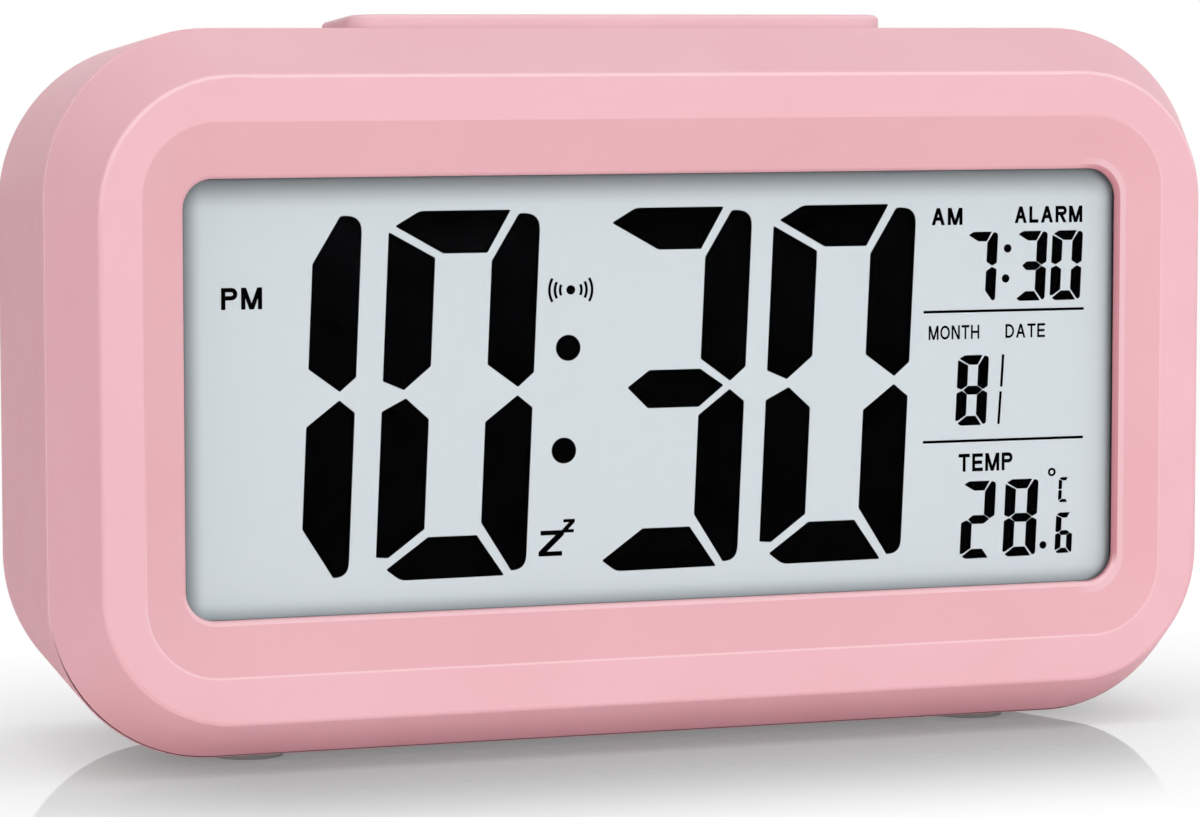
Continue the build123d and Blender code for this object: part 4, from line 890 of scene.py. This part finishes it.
def letter(mark, s):
    """Outlines of one capital in its cell, in strokes s wide."""
    w = LETTER_WIDTHS[mark]
    left, right, top, low = bar(0, s, 0, 1), bar(w - s, w, 0, 1), bar(s, w, 1 - s, 1), bar(s, w, 0, s)
    middle, side = (1 - s) / 2, s * 0.62
    half = (w - s) / 2
    bowl = (1 - BOWL_FOOT) / 2
    loop = [bar(s, w - bowl, 1 - s, 1), bar(s, w - bowl, BOWL_FOOT, BOWL_FOOT + s),
            bow(w - bowl, BOWL_FOOT + bowl, bowl - s / 2, bowl - s / 2, -90, 90, s)]
    turn = 0.25 - s / 4
    shapes = {
        "A": [slanted(side, 0, w / 2, 1, s), slanted(w - side, 0, w / 2, 1, s),
              bar(A_INSET * w, (1 - A_INSET) * w, A_BAR, A_BAR + s)],
        "D": [left, bar(s, w - 0.5, 1 - s, 1), bar(s, w - 0.5, 0, s),
              bow(w - 0.5, 0.5, 0.5 - s / 2, 0.5 - s / 2, -90, 90, s)],
        "E": [left, top, low, bar(s, 0.93 * w, middle, middle + s)],
        "F": [left, top, bar(s, 0.9 * w, middle, middle + s)],
        "H": [left, right, bar(s, w - s, middle, middle + s)],
        "L": [left, low],
        "M": [left, right, slanted(side, 1, w / 2, 0, s), slanted(w - side, 1, w / 2, 0, s)],
        "N": [left, right, slanted(side, 1, w - side, 0, s)],
        "O": [bow(w / 2, 0.5, half, 0.5 - s / 2, 0, 180, s), bow(w / 2, 0.5, half, 0.5 - s / 2, 180, 360, s)],
        "P": [left] + loop,
        "R": [left] + loop + [slanted(w - side, 0, 0.48 * w, 0.5, s)],
        "S": [bow(w / 2, 0.5 + turn, half, turn, 25, 270, s),
              bow(w / 2, 0.5 - turn, half, turn, -155, 90, s)],
        "T": [bar(0, w, 1 - s, 1), bar((w - s) / 2, (w + s) / 2, 0, 1 - s)],
        "U": [bar(0, s, w / 2, 1), bar(w - s, w, w / 2, 1), bow(w / 2, w / 2, half, half, 180, 360, s)],
        "W": [slanted(side, 1, 0.27 * w, 0, s), slanted(w / 2, 1, 0.27 * w, 0, s),
              slanted(w / 2, 1, 0.73 * w, 0, s), slanted(w - side, 1, 0.73 * w, 0, s)],
    }
    return shapes[mark]


print(len(LETTER_WIDTHS), "letters")

# %% Words
def natural_width(words):
    """Width of a word whose letters are one unit tall."""
    return sum(LETTER_WIDTHS[mark] for mark in words) + LETTER_SPACE * (len(words) - 1)


def word(words, left, right, low, top, stroke):
    """Outlines of a word stretched to a box in millimetres; stroke is a share of its height."""
    wide, tall = (right - left) / natural_width(words), top - low
    made, start = [], 0.0
    for mark in words:
        for outline in letter(mark, stroke):
            made.append([(left + (start + x) * wide, low + z * tall) for x, z in outline])
        start += LETTER_WIDTHS[mark] + LETTER_SPACE
    return made


# For each word: its letters, left and right ends, foot, top and stroke
WORDS = {
    "pm": ("PM", -50.36, -45.80, 9.62, 11.98, 0.20),
    "am": ("AM", 32.76, 36.62, 17.45, 19.40, 0.21),
    "alarm": ("ALARM", 43.12, 51.68, 17.55, 19.45, 0.21),
    "month": ("MONTH", 32.51, 38.80, 4.42, 6.02, 0.17),
    "date": ("DATE", 42.09, 47.08, 4.42, 6.02, 0.17),
    "temp": ("TEMP", 36.33, 43.10, -10.77, -8.72, 0.20),
}
for name, setting in WORDS.items():
    plates("lcd_word_" + name, word(*setting), ink)
print(len(WORDS), "words")

# %% [markdown]
# ## The back: printed legends
#
# The keys and the slider are named in small pad-printed capitals, in a grey that is darker than the case.
# They could be drawn by the case's own material, but plates keep their edges sharp in the mesh too. They
# use the same letters as the display, turned to face the back. A reader behind the clock sees X mirrored,
# so each middle changes its sign.

# %% Legends
LEGEND_HEIGHT, LEGEND_STROKE, LEGEND_RISE = 1.7, 0.17, 0.5
LEGENDS = {"mode_key": "MODE", "set_key": "SET", "up_key": "UP", "down_key": "DOWN"}
# The slider starts at one end of its travel. Its smaller legends stand to both sides of the slot's middle
SLIDER_TRAVEL = 3.0
SWITCH_HEIGHT, SWITCH_RISE, SWITCH_OUT = 1.4, 1.0, 3.2
legend_ink = plain("pad_printed_grey_ink", "#6F6265", 0.55, "#75686B")
rear_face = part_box("rear_housing")[1].y


def legend(name, words, middle, low, height=LEGEND_HEIGHT):
    """Word on the back, centred on a middle that a reader there sees, with its foot at low."""
    half = height / 2 * natural_width(words)
    outlines = word(words, middle - half, middle + half, low, low + height, LEGEND_STROKE)
    return plates("legend_" + name, outlines, legend_ink, face=rear_face, side=1)


for node, words in LEGENDS.items():
    low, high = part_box(node)
    legend(node, words, -(low.x + high.x) / 2 / MM, (high.z - MIDDLE_Z) / MM + LEGEND_RISE)

low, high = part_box("slider_knob")
slot_middle = -(low.x + high.x) / 2 / MM - SLIDER_TRAVEL / 2
slot_top = (high.z - MIDDLE_Z) / MM + SWITCH_RISE
legend("off", "OFF", slot_middle - SWITCH_OUT, slot_top, SWITCH_HEIGHT)
legend("on", "ON", slot_middle + SWITCH_OUT, slot_top, SWITCH_HEIGHT)
print(len(LEGENDS) + 2, "legends at", round(rear_face / MM, 2), "mm")

# %% [markdown]
# ## The cells
#
# A dry cell is a steel can in a printed plastic sleeve. The sleeve is dark with a copper band at the plus
# end and a pale line between them, and it carries a plus and a minus sign. The bare can shows at both ends.
# A picture could be wrapped round it, but all of it lies along X, so the distance from the plus end is
# enough to decide the colour.

# %% Printed jackets
# Distances from the plus end, in millimetres: where the sleeve starts and ends, and where each colour starts
SLEEVE_START, SLEEVE_END = 1.5, 44.0
JACKET_STOPS = (("#A9A9A6", 0.0), ("#B4763E", SLEEVE_START), ("#E9E5DC", 14.0), ("#25282D", 14.6),
                ("#A9A9A6", SLEEVE_END))
# For each bar of the signs: its distance from the plus end, and half of its length and of its height
JACKET_MARKS = ((7.5, 1.4, 0.3), (7.5, 0.3, 1.4), (38.5, 1.4, 0.3))
SIGN_WHITE = "#F1EFE9"
PLUS_ENDS = {"cell_bottom": 1, "cell_middle": -1, "cell_top": 1}


def printed_jacket(node, plus_side):
    """Jacket whose bands and signs are set out from the plus end, in millimetres."""
    low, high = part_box(node)
    plus_end, far_end = (high.x, low.x) if plus_side > 0 else (low.x, high.x)
    length = (high.x - low.x) / MM
    made, tree = material("printed_jacket_" + node)
    place = add(tree, "TexCoord")
    axes = add(tree, "SeparateXYZ", [(0, place.outputs["Object"])])
    along = add(tree, "MapRange", [("Value", axes.outputs["X"])], From_Min=plus_end, From_Max=far_end)
    bands = add(tree, "ValToRGB", [("Fac", along.outputs["Result"])])
    bands.color_ramp.interpolation = "CONSTANT"
    for code, start in JACKET_STOPS[1:]:
        bands.color_ramp.elements.new(start / length).color = linear(code)
    bands.color_ramp.elements[0].color = linear(JACKET_STOPS[0][0])
    bands.color_ramp.elements[-1].color = linear(JACKET_STOPS[-1][0])
    sign = 0.0
    for start, half_length, half_height in JACKET_MARKS:
        length_part = add(tree, "Math", [(0, along.outputs["Result"]), (1, start / length),
                                         (2, half_length / length)], operation="COMPARE")
        height_part = add(tree, "Math", [(0, axes.outputs["Z"]), (1, (low.z + high.z) / 2),
                                         (2, half_height * MM)], operation="COMPARE")
        mark = add(tree, "Math", [(0, length_part.outputs[0]), (1, height_part.outputs[0])],
                   operation="MULTIPLY")
        sign = add(tree, "Math", [(0, sign), (1, mark.outputs[0])], operation="MAXIMUM").outputs[0]
    tone = add(tree, "Mix", [("Factor", sign), (FIRST, bands.outputs["Color"]), (SECOND, linear(SIGN_WHITE))],
               data_type="RGBA")
    sleeve = add(tree, "Math", [(0, along.outputs["Result"]), (1, (SLEEVE_START + SLEEVE_END) / 2 / length),
                                (2, (SLEEVE_END - SLEEVE_START) / 2 / length)], operation="COMPARE")
    bare = add(tree, "Math", [(0, 1.0), (1, sleeve.outputs[0])], operation="SUBTRACT")
    shader = add(tree, "BsdfPrincipled", [
        ("Base Color", tone.outputs[MIXED]),
        ("Metallic", bare.outputs[0]),
        ("Roughness", mottle(tree, size=4.0, low=0.22, high=0.30)),
        ("Normal", grain(tree, size=0.4, height=0.002)),
    ])
    add(tree, "OutputMaterial", [("Surface", shader.outputs[0])])
    return made


for node, plus_side in PLUS_ENDS.items():
    nodes[node].data.materials.append(printed_jacket(node, plus_side))
print(len(PLUS_ENDS), "printed jackets")
